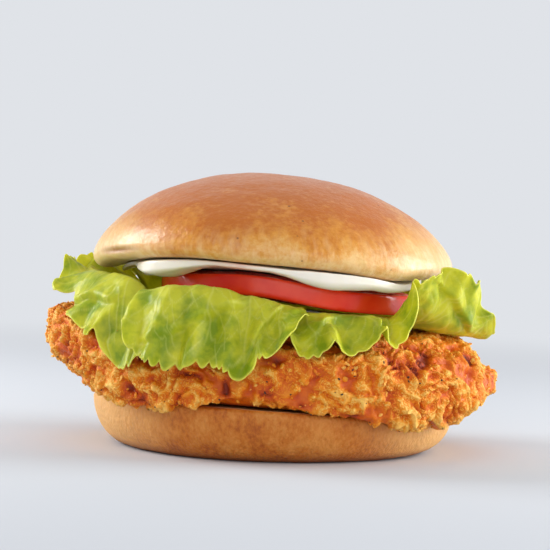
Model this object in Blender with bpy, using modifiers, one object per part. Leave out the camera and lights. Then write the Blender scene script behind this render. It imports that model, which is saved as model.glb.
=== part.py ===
"""Chicken burger: a fried fillet, torn lettuce leaves, a tomato slice and mayonnaise in a split bun.

Metres, +Z up. The origin is the middle of the bun's flat base, and -Y is the front.
Run it with: blender --background --python part.py
"""

import math
from dataclasses import dataclass

import bmesh
import bpy
from mathutils import Vector, noise
from mathutils.bvhtree import BVHTree

MM = 0.001
GAP = 0.35 * MM  # what two touching layers keep between them


@dataclass(frozen=True)
class Plane:
    """A slightly tilted level in the stack: its height on the axis and its slopes."""

    height: float
    slope_x: float
    slope_y: float

    def z(self, x, y):
        return self.height + self.slope_x * x + self.slope_y * y

    def normal(self):
        return Vector((-self.slope_x, -self.slope_y, 1)).normalized()


# The levels of the stack, which leans a little to the right and opens towards the front.
HEEL_CUT = Plane(13.0 * MM, -0.045, -0.050)
FILLET_TOP = Plane(38.7 * MM, -0.055, -0.020)
TOMATO_TOP = Plane(52.3 * MM, -0.072, -0.020)
CROWN_CUT = Plane(54.5 * MM, -0.020, -0.055)

# Bun
BUN_RADIUS = 55.3 * MM
CROWN_DOME = 25.7 * MM  # height of the dome above the bun's widest level
CROWN_PEAK = 1.58  # 2 would be an ellipse, less is more pointed
CROWN_LIP = 3.6 * MM  # height of the rounded edge below the widest level
CROWN_CUT_INSET = 4.2 * MM
CROWN_HOLLOW = 1.6 * MM  # how far the filling presses the cut face in
CROWN_SWELL = 0.9 * MM  # how uneven the dome is
HEEL_RADIUS = 54.0 * MM
HEEL_BASE_RADIUS = 42.3 * MM
HEEL_LIP = 1.6 * MM
HEEL_RINGS = 14
HEEL_BASE_RING = 11  # the ring of vertices that lies on the edge of the flat base

# Fillings
FILLET_HALF_LENGTH = 67.9 * MM
FILLET_HALF_DEPTH = 55.5 * MM
FILLET_SHIFT = 1.7 * MM  # how far its middle lies to the right
FILLET_SQUARENESS = 2.1  # of its outline, where 2 would be an ellipse
FILLET_TOP_ROUNDING = 3.2  # of its sides, where 2 would be round and more is squarer
FILLET_END_ROUNDING = 5.7  # the same at its two ends
FILLET_BOTTOM_ROUNDING = 8.0
FILLET_SWELL = 2.4 * MM  # how much thicker it is in the middle
TOMATO_RADIUS = 38.2 * MM
TOMATO_THICKNESS = 7.2 * MM
TOMATO_CENTRE = (4.7 * MM, -7.0 * MM)
MAYO_RADIUS = 46.0 * MM
LEAF_THICKNESS = 0.8 * MM
LEAF_START = 16.0 * MM  # the leaves' hidden inner ends lie this far from the axis
LEAF_SHELF = 41.0 * MM  # and they lie flat on the fillet as far as this
LEAF_CLEARANCE = 0.85 * MM  # from the middle of a leaf to whatever it lies against
LEAF_COVER = 9.0 * MM  # how far behind a leaf a point of the next leaf is still moved out over it
LEAF_COVER_EDGE = 0.6 * MM  # and how far past its edge

COLLECTION_NAME = "chicken_burger"


def smooth_step(low, high, value):
    """0 below low, 1 above high, and a smooth rise between them."""
    t = min(1.0, max(0.0, (value - low) / (high - low)))
    return t * t * (3 - 2 * t)


def near_angle(angle, centre_deg, half_width_deg):
    """A smooth bump that is 1 at centre_deg and 0 beyond half_width_deg from it."""
    away = (math.degrees(angle) - centre_deg + 180) % 360 - 180
    return 1 - smooth_step(0, half_width_deg, abs(away))


def uneven(angle, size, seed):
    """A closed, slowly varying change of a radius, about -size to +size."""
    point = Vector((math.cos(angle), math.sin(angle), seed)) * 1.3
    return size * noise.noise(point) * 1.8


# ---- materials, collection and object helpers ----


def material(name, colour, roughness):
    made = bpy.data.materials.new(name)
    made.use_nodes = True
    shader = made.node_tree.nodes["Principled BSDF"]
    shader.inputs["Base Color"].default_value = (*colour, 1)
    shader.inputs["Roughness"].default_value = roughness
    shader.inputs["Metallic"].default_value = 0
    return made


def new_object(name, mesh, finish):
    made = bpy.data.objects.new(name, mesh)
    made.data.materials.append(finish)
    bpy.data.collections[COLLECTION_NAME].objects.link(made)
    return made


def lay_on(plane, thing, x=0.0, y=0.0):
    """Moves and turns an object modelled on z = 0 so that it lies on a plane of the stack."""
    thing.location = (x, y, plane.z(x, y))
    thing.rotation_mode = "QUATERNION"
    thing.rotation_quaternion = Vector((0, 0, 1)).rotation_difference(plane.normal())


def surface_of(thing):
    """The search tree of an object's finished surface in world space."""
    bpy.context.view_layer.update()
    finished = thing.evaluated_get(bpy.context.evaluated_depsgraph_get())
    mesh = finished.to_mesh()
    points = [thing.matrix_world @ vertex.co for vertex in mesh.vertices]
    surface = BVHTree.FromPolygons(points, [tuple(face.vertices) for face in mesh.polygons])
    finished.to_mesh_clear()
    return surface


def is_inside(point, surface):
    """Whether a closed surface encloses the point: a ray from it then crosses the surface an odd number of times."""
    direction = Vector((0.48, 0.31, 0.82)).normalized()
    crossings = 0
    start = point.copy()
    while True:
        hit, _normal, _face, _length = surface.ray_cast(start, direction)
        if hit is None:
            return crossings % 2 == 1
        crossings += 1
        start = hit + direction * 1e-6


def pushed_clear(point, surface, distance):
    """The point, moved out of a closed surface until it is at least this far from it."""
    hit, normal, _face, length = surface.find_nearest(point)
    away = point - hit
    if away.dot(normal) < 0 and is_inside(point, surface):
        return hit - away.normalized() * distance if length > 1e-6 else hit + normal * distance
    if length < distance:
        outward = away.normalized() if length > 1e-6 else normal
        return hit + outward * distance
    return point


def pushed_over(point, sheet, distance):
    """The point, moved to the outer side of an open sheet wherever it lies behind it or too near."""
    hit, normal, _face, length = sheet.find_nearest(point)
    away = point - hit
    depth = away.dot(normal)
    beside = (away - normal * depth).length
    if beside < LEAF_COVER_EDGE and -LEAF_COVER < depth < distance:
        return hit + normal * distance
    if length < distance:
        return hit + (away + normal * 1e-6).normalized() * distance
    return point


def keep_faces_clear(grown, moved):
    """Moves each face of a mesh by as much as its middle has to move."""
    for face in grown.faces:
        middle = face.calc_center_median()
        shift = moved(middle.copy()) - middle
        if shift.length > 1e-7:
            for vertex in face.verts:
                vertex.co += shift


def settle(grown, solids, sheets, distance):
    """Moves a growing mesh clear of the solids, and to the outer side of the sheets, in a few rounds."""
    rules = [lambda point, solid=solid: pushed_clear(point, solid, distance) for solid in solids]
    rules += [lambda point, sheet=sheet: pushed_over(point, sheet, LEAF_THICKNESS + 1.5 * GAP) for sheet in sheets]
    for _ in range(6):
        for moved in rules:
            keep_faces_clear(grown, moved)
        for vertex in grown.verts:
            for moved in rules:
                vertex.co = moved(vertex.co.copy())


def reshaped_sphere(name, segments, rings, place, clear_of=()):
    """A sphere whose every vertex goes to place(s, angle), with s from 0 at the top pole to 1 at the bottom."""
    grown = bmesh.new()
    bmesh.ops.create_uvsphere(grown, u_segments=segments, v_segments=rings, radius=1)
    for vertex in grown.verts:
        s = math.acos(max(-1.0, min(1.0, vertex.co.z))) / math.pi
        vertex.co = place(s, math.atan2(vertex.co.y, vertex.co.x))
    settle(grown, [surface_of(other) for other in clear_of], (), GAP)
    mesh = bpy.data.meshes.new(name)
    grown.to_mesh(mesh)
    grown.free()
    mesh.shade_smooth()
    return mesh


# ---- bun ----


def crown_hollow(across):
    return CROWN_HOLLOW * (1 - smooth_step(38 * MM, 49 * MM, across))


def crown_radius(angle):
    return BUN_RADIUS + uneven(angle, 0.8 * MM, 3.1) - 1.4 * MM * near_angle(angle, 5, 55)


def crown_lip_drop(angle):
    """How far the crown's lower edge hangs down in one direction."""
    drop = 2.2 * near_angle(angle, 180, 26) + 2.0 * near_angle(angle, 314, 34)
    return (drop + 1.2 * near_angle(angle, 60, 50) - 1.5 * near_angle(angle, 240, 40)) * MM


def crown_underside(across, angle):
    """The height, over the cut's level, of the cut face and of the edge's lower half outside it."""
    rim = crown_radius(angle) - CROWN_CUT_INSET
    if across < rim:
        return crown_hollow(across) - crown_lip_drop(angle) * (1 - smooth_step(0, 0.25, 1 - across / rim))
    outside = min(1.0, (across - rim) / CROWN_CUT_INSET)
    return CROWN_LIP * (1 - math.sqrt(1 - outside**2)) - crown_lip_drop(angle)


def crown_point(s, angle):
    """The crown on z = 0: a dome, a rounded edge and the cut face."""
    radius = crown_radius(angle)
    dome_end, edge_end = 0.62, 0.78
    if s <= dome_end:
        turn = s / dome_end * math.pi / 2
        across = radius * math.sin(turn)
        height = CROWN_LIP + CROWN_DOME * max(0.0, math.cos(turn)) ** (2 / CROWN_PEAK)
        swell = noise.noise(Vector((across * math.cos(angle), across * math.sin(angle), height)) * 32)
        height += swell * CROWN_SWELL * (1 - smooth_step(0.5, dome_end, s))
        height -= crown_lip_drop(angle) * math.sin(turn) ** 4
    elif s <= edge_end:
        turn = (s - dome_end) / (edge_end - dome_end) * math.pi / 2
        across = radius - CROWN_CUT_INSET * (1 - math.cos(turn))
        height = crown_underside(across, angle)
    else:
        across = (radius - CROWN_CUT_INSET) * (1 - s) / (1 - edge_end)
        height = crown_underside(across, angle)
    return Vector((across * math.cos(angle), across * math.sin(angle), height))


def make_crown():
    finish = material("baked_crust", (0.55, 0.27, 0.08), 0.32)
    crown = new_object("bun_crown", reshaped_sphere("bun_crown", 38, 17, crown_point), finish)
    lay_on(CROWN_CUT, crown)
    return crown


def heel_radius(angle):
    return HEEL_RADIUS + uneven(angle, 0.7 * MM, 7.7) + 2.4 * MM * near_angle(angle, 355, 50)


def heel_point(s, angle):
    """The heel: its cut face, a thin lip, a rounded side and the flat base."""
    radius = heel_radius(angle)
    base = HEEL_BASE_RADIUS + uneven(angle, 1.0 * MM, 5.2)
    face_end, lip_end, side_end = 0.36, 0.46, HEEL_BASE_RING / HEEL_RINGS
    if s <= face_end:
        across = (radius - HEEL_LIP) * s / face_end
        down = 0.0
    elif s <= lip_end:
        turn = (s - face_end) / (lip_end - face_end) * math.pi / 2
        across = radius - HEEL_LIP * (1 - math.sin(turn))
        down = HEEL_LIP * (1 - math.cos(turn))
    elif s <= side_end:
        turn = (s - lip_end) / (side_end - lip_end) * math.pi / 2
        across = base + (radius - base) * max(0.0, math.cos(turn)) ** 0.85
        down = HEEL_LIP
    else:
        across = base * (1 - s) / (1 - side_end)
        down = 0.0
    x, y = across * math.cos(angle), across * math.sin(angle)
    top = HEEL_CUT.z(x, y) - down
    if s <= lip_end:
        return Vector((x, y, top))
    if s < side_end - 1e-6:
        return Vector((x, y, top * (1 - math.sin(turn) ** 1.15)))
    return Vector((x, y, 0))


def make_heel():
    finish = material("baked_base", (0.62, 0.34, 0.13), 0.55)
    return new_object("bun_heel", reshaped_sphere("bun_heel", 38, HEEL_RINGS, heel_point), finish)


# ---- fillet, tomato and mayonnaise ----


def fillet_outline(angle):
    """The fillet's radius at an angle: a squarish oval with an uneven edge."""
    power = FILLET_SQUARENESS
    across = abs(math.cos(angle) / FILLET_HALF_LENGTH) ** power
    along = abs(math.sin(angle) / FILLET_HALF_DEPTH) ** power
    return (across + along) ** (-1 / power) + uneven(angle, 1.6 * MM, 1.9)


def fillet_top(x, y):
    """The level of the fillet's top, which swells in the middle and falls away at the right end."""
    away = min(1.0, math.hypot(x / FILLET_HALF_LENGTH, y / FILLET_HALF_DEPTH))
    fall = 8.5 * MM * smooth_step(57.5 * MM, 66.5 * MM, x)
    return FILLET_TOP.z(x, y) + FILLET_SWELL * (1 - away**2) - fall


def fillet_point(s, angle):
    """The fried fillet: a thick slab with rounded sides, its two ends curling up, under a craggy crust."""
    turn = s * math.pi
    ends = near_angle(angle, 0, 40) + near_angle(angle, 180, 40)
    top_rounding = FILLET_TOP_ROUNDING + (FILLET_END_ROUNDING - FILLET_TOP_ROUNDING) * ends
    rounding = top_rounding if s < 0.5 else FILLET_BOTTOM_ROUNDING
    across = fillet_outline(angle) * max(0.0, math.sin(turn)) ** (2 / rounding)
    upward = math.copysign(abs(math.cos(turn)) ** (2 / rounding), math.cos(turn))
    x, y = across * math.cos(angle) + FILLET_SHIFT, across * math.sin(angle)
    rim = heel_radius(math.atan2(y, x))
    overhang = smooth_step(rim, rim + 3.5 * MM, math.hypot(x, y))
    droop = 3.6 + 1.3 * near_angle(angle, 240, 25) - 1.0 * near_angle(angle, 264, 20)
    droop -= 0.8 * near_angle(angle, 0, 40) + 2.4 * near_angle(angle, 203, 26)
    curl = 12.5 * smooth_step(48 * MM, 68 * MM, -x) + 11.0 * smooth_step(50 * MM, 70 * MM, x)
    bottom = HEEL_CUT.z(x, y) + GAP + (curl - droop * overhang) * MM
    top = fillet_top(x, y)
    z = (top + bottom) / 2 + (top - bottom) / 2 * upward
    point = Vector((x, y, z))
    outward = Vector((x * 0.6, y * 0.6, (top - bottom) * upward * 1.1)).normalized()
    lumps = noise.fractal(point * 70, 0.9, 2.1, 3) * 1.3 * MM
    crags = abs(noise.noise(point * 210)) * 1.2 * MM
    resting = smooth_step(0.55, 0.7, s) * (1 - smooth_step(0.9, 1.02, math.hypot(x, y) / rim))
    pressed = (1 - smooth_step(0.25, 0.42, s)) * (1 - smooth_step(0.8, 1.0, across / LEAF_SHELF))
    return point + outward * (lumps + crags - 0.9 * MM) * (1 - max(resting, pressed))


def make_fillet(heel):
    finish = material("fried_crust", (0.72, 0.26, 0.045), 0.45)
    return new_object("chicken_fillet", reshaped_sphere("chicken_fillet", 52, 20, fillet_point, [heel]), finish)


def tomato_arch(x, y):
    """How far the slice, measured from its own middle, bends up towards the front."""
    reach = math.hypot(x, y) / TOMATO_RADIUS
    return 2.0 * MM * near_angle(math.atan2(y, x), 255, 44) * reach**2


def tomato_point(s, angle):
    """The slice under z = 0: two cut faces and a skin that bulges between them."""
    radius = TOMATO_RADIUS + uneven(angle, 0.9 * MM, 8.4)
    face_end = 0.36
    skin = 1.3 * MM
    half = TOMATO_THICKNESS / 2
    if s <= face_end or s >= 1 - face_end:
        across = (radius - skin) * min(s, 1 - s) / face_end
        upward = 1.0 if s < 0.5 else -1.0
    else:
        turn = (s - face_end) / (1 - 2 * face_end) * math.pi
        across = radius - skin * (1 - math.sin(turn))
        upward = math.copysign(abs(math.cos(turn)) ** 0.75, math.cos(turn))
    x, y = across * math.cos(angle), across * math.sin(angle)
    return Vector((x, y, half * (upward - 1) + tomato_arch(x, y)))


def make_tomato():
    finish = material("tomato_flesh", (0.62, 0.05, 0.02), 0.25)
    tomato = new_object("tomato_slice", reshaped_sphere("tomato_slice", 38, 9, tomato_point), finish)
    lay_on(TOMATO_TOP, tomato, *TOMATO_CENTRE)
    return tomato


def over_tomato(x, y, margin):
    """How far a point is over the slice: 1 well inside its edge, 0 past the margin outside it."""
    away = math.hypot(x - TOMATO_CENTRE[0], y - TOMATO_CENTRE[1])
    return 1 - smooth_step(TOMATO_RADIUS + 0.8 * MM, TOMATO_RADIUS + margin, away)


def mayo_point(s, angle):
    """Mayonnaise pressed between the crown and the slice, in drooping lobes round the edge."""
    left = near_angle(angle, 227, 24)
    middle = near_angle(angle, 287, 20)
    right = near_angle(angle, 312, 36)
    back = near_angle(angle, 80, 40)
    spread = 7.5 * left + 2.8 * middle + 5.4 * right + 2.5 * back - 2.0 * near_angle(angle, 257, 14)
    turn = s * math.pi
    across = (MAYO_RADIUS + spread * MM + uneven(angle, 0.6 * MM, 4.4)) * max(0.0, math.sin(turn)) ** 0.5
    x, y = across * math.cos(angle), across * math.sin(angle)
    top = CROWN_CUT.z(x, y) + crown_underside(across, angle) - GAP
    droop = 2.6 + 2.6 * left + 4.0 * middle + 2.6 * right + 1.0 * back
    slice_top = TOMATO_TOP.z(x, y) + tomato_arch(x - TOMATO_CENTRE[0], y - TOMATO_CENTRE[1])
    pressed = min(top - 0.7 * MM, slice_top + 1.4 * GAP)
    share = over_tomato(x, y, 4 * MM)
    bottom = (top - droop * MM) * (1 - share) + pressed * share
    upward = math.copysign(abs(math.cos(turn)) ** 0.6, math.cos(turn))
    return Vector((x, y, (top + bottom) / 2 + (top - bottom) / 2 * upward))


def make_mayo(crown, tomato):
    finish = material("mayonnaise", (0.86, 0.82, 0.72), 0.2)
    return new_object("mayonnaise", reshaped_sphere("mayonnaise", 38, 11, mayo_point, [crown, tomato]), finish)


# ---- lettuce ----


@dataclass(frozen=True)
class Rib:
    """A radial section of a leaf, in degrees and mm: its crest on the stack and its free edge, each a radius and a height."""

    angle: float
    crest: tuple
    edge: tuple
    ruffle: float = 2.0  # how far the free edge waves to either side
    tuck: float = 0.0  # how far the leaf folds in under its crest


@dataclass(frozen=True)
class Leaf:
    """A torn piece of leaf: its ribs in order of angle, and the waves of its free edge."""

    name: str
    ribs: tuple
    waves: float
    phase: float
    lift: float  # height of its hidden inner end over the fillet, mm
    columns: int = 27
    rows: int = 8


LEAVES = (
    Leaf(
        "lettuce_left",
        (
            Rib(150, (49, 48.7), (57, 51.5), 1.2),
            Rib(163, (51, 51.0), (60, 54.7), 1.8),
            Rib(172, (52.5, 51.2), (62, 56.7), 2.0),
            Rib(180, (54, 51.5), (65, 54.7), 2.2),
            Rib(188, (54.8, 52.4), (66.5, 48.7), 2.2),
            Rib(197, (55, 53.2), (67, 42.7), 1.6),
            Rib(208, (54.5, 53.0), (67.5, 39.2), 1.2),
            Rib(219, (54.5, 50.7), (67, 32.7), 1.6),
            Rib(228, (53.5, 46.2), (65.5, 26.2), 1.5),
            Rib(236, (52, 43.7), (64, 29.7), 0.8),
        ),
        waves=6.5, phase=0.6, lift=1.1,
    ),
    Leaf(
        "lettuce_right",
        (
            Rib(271, (45, 42.7), (51.5, 40.7), 0.4),
            Rib(280, (49, 43.5), (61, 33.2), 2.8),
            Rib(289, (50, 43.7), (62.5, 34.2), 4.0),
            Rib(298, (50, 43.7), (62, 36.7), 4.4),
            Rib(307, (50, 43.1), (62.5, 37.7), 4.2),
            Rib(313, (50, 42.9), (61.5, 44.2), 3.0),
            Rib(318, (50, 43.7), (59.8, 52.5), 2.2),
            Rib(323, (51.5, 43.7), (59, 57.2), 1.8),
            Rib(329, (54, 42.7), (61, 57.7), 1.6),
            Rib(335, (57, 40.2), (64, 57.2), 1.8),
            Rib(341, (60, 38.2), (66.5, 53.2), 2.2),
            Rib(347, (61.5, 36.7), (68.5, 44.7), 2.4),
            Rib(354, (61.5, 36.2), (67.5, 37.7), 2.0),
            Rib(362, (57, 39.2), (64, 38.7), 1.2),
        ),
        waves=6.4, phase=0.84, lift=1.2, columns=32,
    ),
    Leaf(
        "lettuce_back",
        (
            Rib(13, (52, 47.7), (61, 48.2), 1.6),
            Rib(30, (50, 49.2), (60.5, 49.7), 2.2),
            Rib(48, (48, 48.7), (59, 44.7), 2.6),
            Rib(66, (46, 48.7), (59.5, 39.7), 3.0),
            Rib(86, (45, 48.7), (60, 34.7), 3.0),
            Rib(106, (45, 49.2), (60, 39.7), 3.0),
            Rib(124, (47, 49.9), (59, 46.7), 2.6),
            Rib(138, (48.5, 50.4), (59.5, 51.7), 2.0),
            Rib(152, (49.5, 50.8), (59, 53.6), 1.4),
        ),
        waves=7.0, phase=2.0, lift=1.1, columns=28,
    ),
    Leaf(
        "lettuce_front",
        (
            Rib(230, (59, 48.9), (67.5, 39.7), 0.8),
            Rib(235, (59.5, 49.7), (68.5, 30.7), 1.4),
            Rib(240, (58, 50.4), (68.5, 28.2), 1.6),
            Rib(246, (56, 50.7), (67, 27.2), 1.4, 1.5),
            Rib(254, (53, 49.7), (65, 28.2), 1.2, 3.0),
            Rib(262, (50.5, 47.9), (63, 25.7), 1.8, 2.5),
            Rib(268, (49.5, 46.5), (62, 29.7), 1.8, 1.0),
            Rib(274, (49.5, 46.1), (61.5, 36.7), 1.0),
            Rib(281, (48, 45.5), (56, 42.7), 0.6),
        ),
        waves=5.6, phase=1.2, lift=2.5,
    ),
)


def rib_at(leaf, angle):
    """The crest, edge, ruffle and tuck of a leaf at any angle, blended from the two ribs beside it."""
    for before, after in zip(leaf.ribs, leaf.ribs[1:]):
        if angle <= after.angle or after is leaf.ribs[-1]:
            share = smooth_step(before.angle, after.angle, angle)
            crest = Vector(before.crest).lerp(Vector(after.crest), share)
            edge = Vector(before.edge).lerp(Vector(after.edge), share)
            ruffle = before.ruffle + (after.ruffle - before.ruffle) * share
            tuck = before.tuck + (after.tuck - before.tuck) * share
            return crest * MM, edge * MM, ruffle * MM, tuck * MM


def along_profile(stops, v):
    """A smooth curve through four stops, with v from 0 to 1."""
    reached = (0.0, 0.26, 0.58, 1.0)
    part = 0 if v < reached[1] else 1 if v < reached[2] else 2
    t = (v - reached[part]) / (reached[part + 1] - reached[part])
    slopes = []
    for here in (part, part + 1):
        before, after = max(0, here - 1), min(3, here + 1)
        slopes.append((stops[after] - stops[before]) / (reached[after] - reached[before]))
    width = reached[part + 1] - reached[part]
    return (
        stops[part] * (2 * t**3 - 3 * t**2 + 1)
        + stops[part + 1] * (3 * t**2 - 2 * t**3)
        + slopes[0] * width * (t**3 - 2 * t**2 + t)
        + slopes[1] * width * (t**3 - t**2)
    )


def leaf_point(leaf, u, v):
    """A point of a leaf: u runs round the stack and v from the hidden inner end to the free edge."""
    degrees = leaf.ribs[0].angle * (1 - u) + leaf.ribs[-1].angle * u
    angle = math.radians(degrees)
    crest, edge, ruffle, tuck = rib_at(leaf, degrees)
    stops = []
    for reach in (LEAF_START, LEAF_SHELF):
        level = fillet_top(reach * math.cos(angle), reach * math.sin(angle))
        stops.append(Vector((reach, level + leaf.lift * MM)))
    stops += [crest, edge]
    point = along_profile(stops, v)
    along = (along_profile(stops, v + 0.01) - along_profile(stops, v - 0.01)).normalized()
    normal = Vector((-along.y, along.x))
    wave = 2 * math.pi * leaf.waves * u + leaf.phase
    free = smooth_step(0.5, 1.05, v)
    point += normal * ruffle * free * math.sin(wave)
    point.x -= tuck * math.sin(math.pi * smooth_step(0.58, 1.0, v)) ** 2
    angle += 0.45 * ruffle * free**1.5 * math.cos(wave) / point.x
    return Vector((point.x * math.cos(angle), point.x * math.sin(angle), point.y))


def make_leaf(leaf, finish, solids, sheets):
    grown = bmesh.new()
    bmesh.ops.create_grid(grown, x_segments=leaf.columns, y_segments=leaf.rows, size=0.5)
    for vertex in grown.verts:
        vertex.co = leaf_point(leaf, vertex.co.x + 0.5, (vertex.co.y + 0.5) ** 0.9)
    bmesh.ops.reverse_faces(grown, faces=grown.faces)
    settle(grown, solids, sheets, LEAF_CLEARANCE)
    mesh = bpy.data.meshes.new(leaf.name)
    grown.to_mesh(mesh)
    sheet = BVHTree.FromBMesh(grown)
    grown.free()
    mesh.shade_smooth()
    made = new_object(leaf.name, mesh, finish)
    wall = made.modifiers.new("leaf_wall", "SOLIDIFY")
    wall.thickness = LEAF_THICKNESS
    wall.offset = 0
    return sheet


def make_lettuce(around):
    """The leaves in turn, each kept clear of the food round it and outside the leaves laid before it."""
    finish = material("lettuce", (0.36, 0.50, 0.06), 0.4)
    solids = [surface_of(thing) for thing in around]
    sheets = []
    for leaf in LEAVES:
        sheets.append(make_leaf(leaf, finish, solids, sheets))


def main():
    for old in list(bpy.data.objects):
        bpy.data.objects.remove(old)
    bpy.context.scene.collection.children.link(bpy.data.collections.new(COLLECTION_NAME))
    heel = make_heel()
    fillet = make_fillet(heel)
    crown = make_crown()
    tomato = make_tomato()
    mayo = make_mayo(crown, tomato)
    make_lettuce([fillet, tomato, mayo, crown])


main()
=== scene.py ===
"""Dresses a chicken burger for the studio: glazed bun, craggy fried fillet, torn lettuce, tomato and mayonnaise.

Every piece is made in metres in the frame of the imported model, so it lies where its solid lies.
"""

import logging
import math
from dataclasses import dataclass
from enum import Enum
from typing import Callable, Mapping, Optional, Sequence

import bmesh
import bpy
import numpy as np
from mathutils import Matrix, Vector, noise
from mathutils.bvhtree import BVHTree


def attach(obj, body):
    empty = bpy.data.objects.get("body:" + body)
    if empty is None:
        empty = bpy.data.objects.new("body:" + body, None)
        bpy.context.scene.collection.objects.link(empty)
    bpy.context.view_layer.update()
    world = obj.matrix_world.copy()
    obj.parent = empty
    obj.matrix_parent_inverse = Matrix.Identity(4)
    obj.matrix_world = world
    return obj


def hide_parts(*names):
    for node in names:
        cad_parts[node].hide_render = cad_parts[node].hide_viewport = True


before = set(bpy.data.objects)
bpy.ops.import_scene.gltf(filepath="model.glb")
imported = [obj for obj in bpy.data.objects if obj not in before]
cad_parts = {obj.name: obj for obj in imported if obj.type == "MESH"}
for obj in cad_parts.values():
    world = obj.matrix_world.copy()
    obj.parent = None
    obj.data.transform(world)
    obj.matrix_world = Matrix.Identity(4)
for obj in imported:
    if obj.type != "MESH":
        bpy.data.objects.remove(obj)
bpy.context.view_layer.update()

MM = 0.001
BODY = "root"
log = logging.getLogger("chicken_burger")


# ---- numbers and colours ----


def linear(code: str) -> tuple[float, float, float, float]:
    """Turns an sRGB hex colour into the linear colour that shaders use.

    Args:
        code: the colour as "#RRGGBB".

    Returns:
        The linear red, green, blue and an alpha of 1.
    """
    values = [int(code[place : place + 2], 16) / 255 for place in (1, 3, 5)]
    low = [value / 12.92 for value in values]
    high = [((value + 0.055) / 1.055) ** 2.4 for value in values]
    return tuple(a if value <= 0.04045 else b for value, a, b in zip(values, low, high)) + (1.0,)


def smooth_step(low: float, high: float, value: float) -> float:
    """Eases from 0 at low to 1 at high.

    Args:
        low: where the rise starts.
        high: where it ends.
        value: where it is read.

    Returns:
        The share between 0 and 1.
    """
    share = min(1.0, max(0.0, (value - low) / (high - low)))
    return share * share * (3 - 2 * share)


def near_angle(angle: float, centre: float, half_width: float) -> float:
    """Makes a smooth bump round one direction.

    Args:
        angle: the direction that is read, in radians.
        centre: the bump's middle, in degrees.
        half_width: how far it reaches to each side, in degrees.

    Returns:
        1 at the middle, 0 beyond the width.
    """
    away = (math.degrees(angle) - centre + 180) % 360 - 180
    return 1 - smooth_step(0, half_width, abs(away))


@dataclass(frozen=True)
class Plane:
    """A slightly tilted level of the stack: its height on the axis and its slopes."""

    height: float
    slope_x: float
    slope_y: float

    def z(self, x: float, y: float) -> float:
        """Gives the level's height at a place."""
        return self.height + self.slope_x * x + self.slope_y * y

    def matrix(self, x: float = 0.0, y: float = 0.0) -> Matrix:
        """Gives the turn and move that lay a form from z = 0 on the level at a place."""
        normal = Vector((-self.slope_x, -self.slope_y, 1)).normalized()
        turn = Vector((0, 0, 1)).rotation_difference(normal).to_matrix().to_4x4()
        return Matrix.Translation((x, y, self.z(x, y))) @ turn


# The levels of the stack, which leans a little to the right and opens towards the front.
HEEL_CUT = Plane(13.0 * MM, -0.045, -0.050)
FILLET_TOP = Plane(38.7 * MM, -0.055, -0.020)
TOMATO_TOP = Plane(52.3 * MM, -0.072, -0.020)
CROWN_CUT = Plane(54.5 * MM, -0.020, -0.055)


# ---- node trees ----


def add_node(
    tree: bpy.types.NodeTree,
    kind: str,
    inputs: Optional[Mapping] = None,
    stops: Sequence[tuple[float, str]] = (),
    **settings: object,
) -> bpy.types.Node:
    """Adds a node to a tree with its settings and links.

    Args:
        tree: the shader or geometry tree.
        kind: the node's type.
        inputs: what each input gets, by name or number: a value, or the output that is linked to it.
        stops: for a colour ramp, its positions and hex colours.
        settings: the node's own options.

    Returns:
        The new node.
    """
    node = tree.nodes.new(kind)
    for name, value in settings.items():
        setattr(node, name, value)
    for key, value in (inputs or {}).items():
        if isinstance(value, bpy.types.NodeSocket):
            tree.links.new(value, node.inputs[key])
        else:
            node.inputs[key].default_value = value
    for number, (position, code) in enumerate(stops):
        elements = node.color_ramp.elements
        stop = elements[number] if number < 2 else elements.new(position)
        stop.position = position
        stop.color = linear(code)
    return node


def start_material(name: str) -> tuple[bpy.types.Material, bpy.types.NodeTree, bpy.types.Node]:
    """Starts a material on one Principled shader.

    Args:
        name: the material's name.

    Returns:
        The material, its tree and its shader.
    """
    material = bpy.data.materials.new(name)
    material.use_nodes = True
    tree = material.node_tree
    return material, tree, tree.nodes["Principled BSDF"]


def start_growth(name: str, sizes: Sequence[str]) -> tuple[bpy.types.NodeTree, bpy.types.Node, bpy.types.Node]:
    """Starts a geometry tree with a named input for each size and one for its finish.

    Args:
        name: the tree's name.
        sizes: the names of its sizes.

    Returns:
        The tree, its input node and its output node.
    """
    tree = bpy.data.node_groups.new(name, "GeometryNodeTree")
    tree.interface.new_socket("Geometry", in_out="INPUT", socket_type="NodeSocketGeometry")
    for size in sizes:
        tree.interface.new_socket(size, in_out="INPUT", socket_type="NodeSocketFloat")
    tree.interface.new_socket("Finish", in_out="INPUT", socket_type="NodeSocketMaterial")
    tree.interface.new_socket("Geometry", in_out="OUTPUT", socket_type="NodeSocketGeometry")
    return tree, add_node(tree, "NodeGroupInput"), add_node(tree, "NodeGroupOutput")


def make_real(thing: bpy.types.Object) -> None:
    """Replaces an object's mesh by what its modifiers make of it, and removes them."""
    finished = thing.evaluated_get(bpy.context.evaluated_depsgraph_get())
    mesh = bpy.data.meshes.new_from_object(finished)
    thing.modifiers.clear()
    thing.data = mesh


def grow(thing: bpy.types.Object, tree: bpy.types.NodeTree, values: Mapping) -> None:
    """Runs a geometry tree on an object once and keeps its result as a plain mesh.

    Args:
        thing: the object.
        tree: the tree.
        values: what each named input gets.
    """
    growth = thing.modifiers.new(tree.name, "NODES")
    growth.node_group = tree
    for socket in tree.interface.items_tree:
        if socket.in_out == "INPUT" and socket.name in values:
            growth[socket.identifier] = values[socket.name]
    make_real(thing)


# ---- meshes ----


def new_piece(name: str, mesh: bpy.types.Mesh) -> bpy.types.Object:
    """Puts a mesh in the scene as an object at the origin."""
    piece = bpy.data.objects.new(name, mesh)
    bpy.context.scene.collection.objects.link(piece)
    return piece


def points_of(mesh: bpy.types.Mesh) -> np.ndarray:
    """Gives a mesh's points as an array of rows."""
    flat = np.zeros(len(mesh.vertices) * 3, np.float32)
    mesh.vertices.foreach_get("co", flat)
    return flat.reshape(-1, 3).astype(float)


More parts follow.
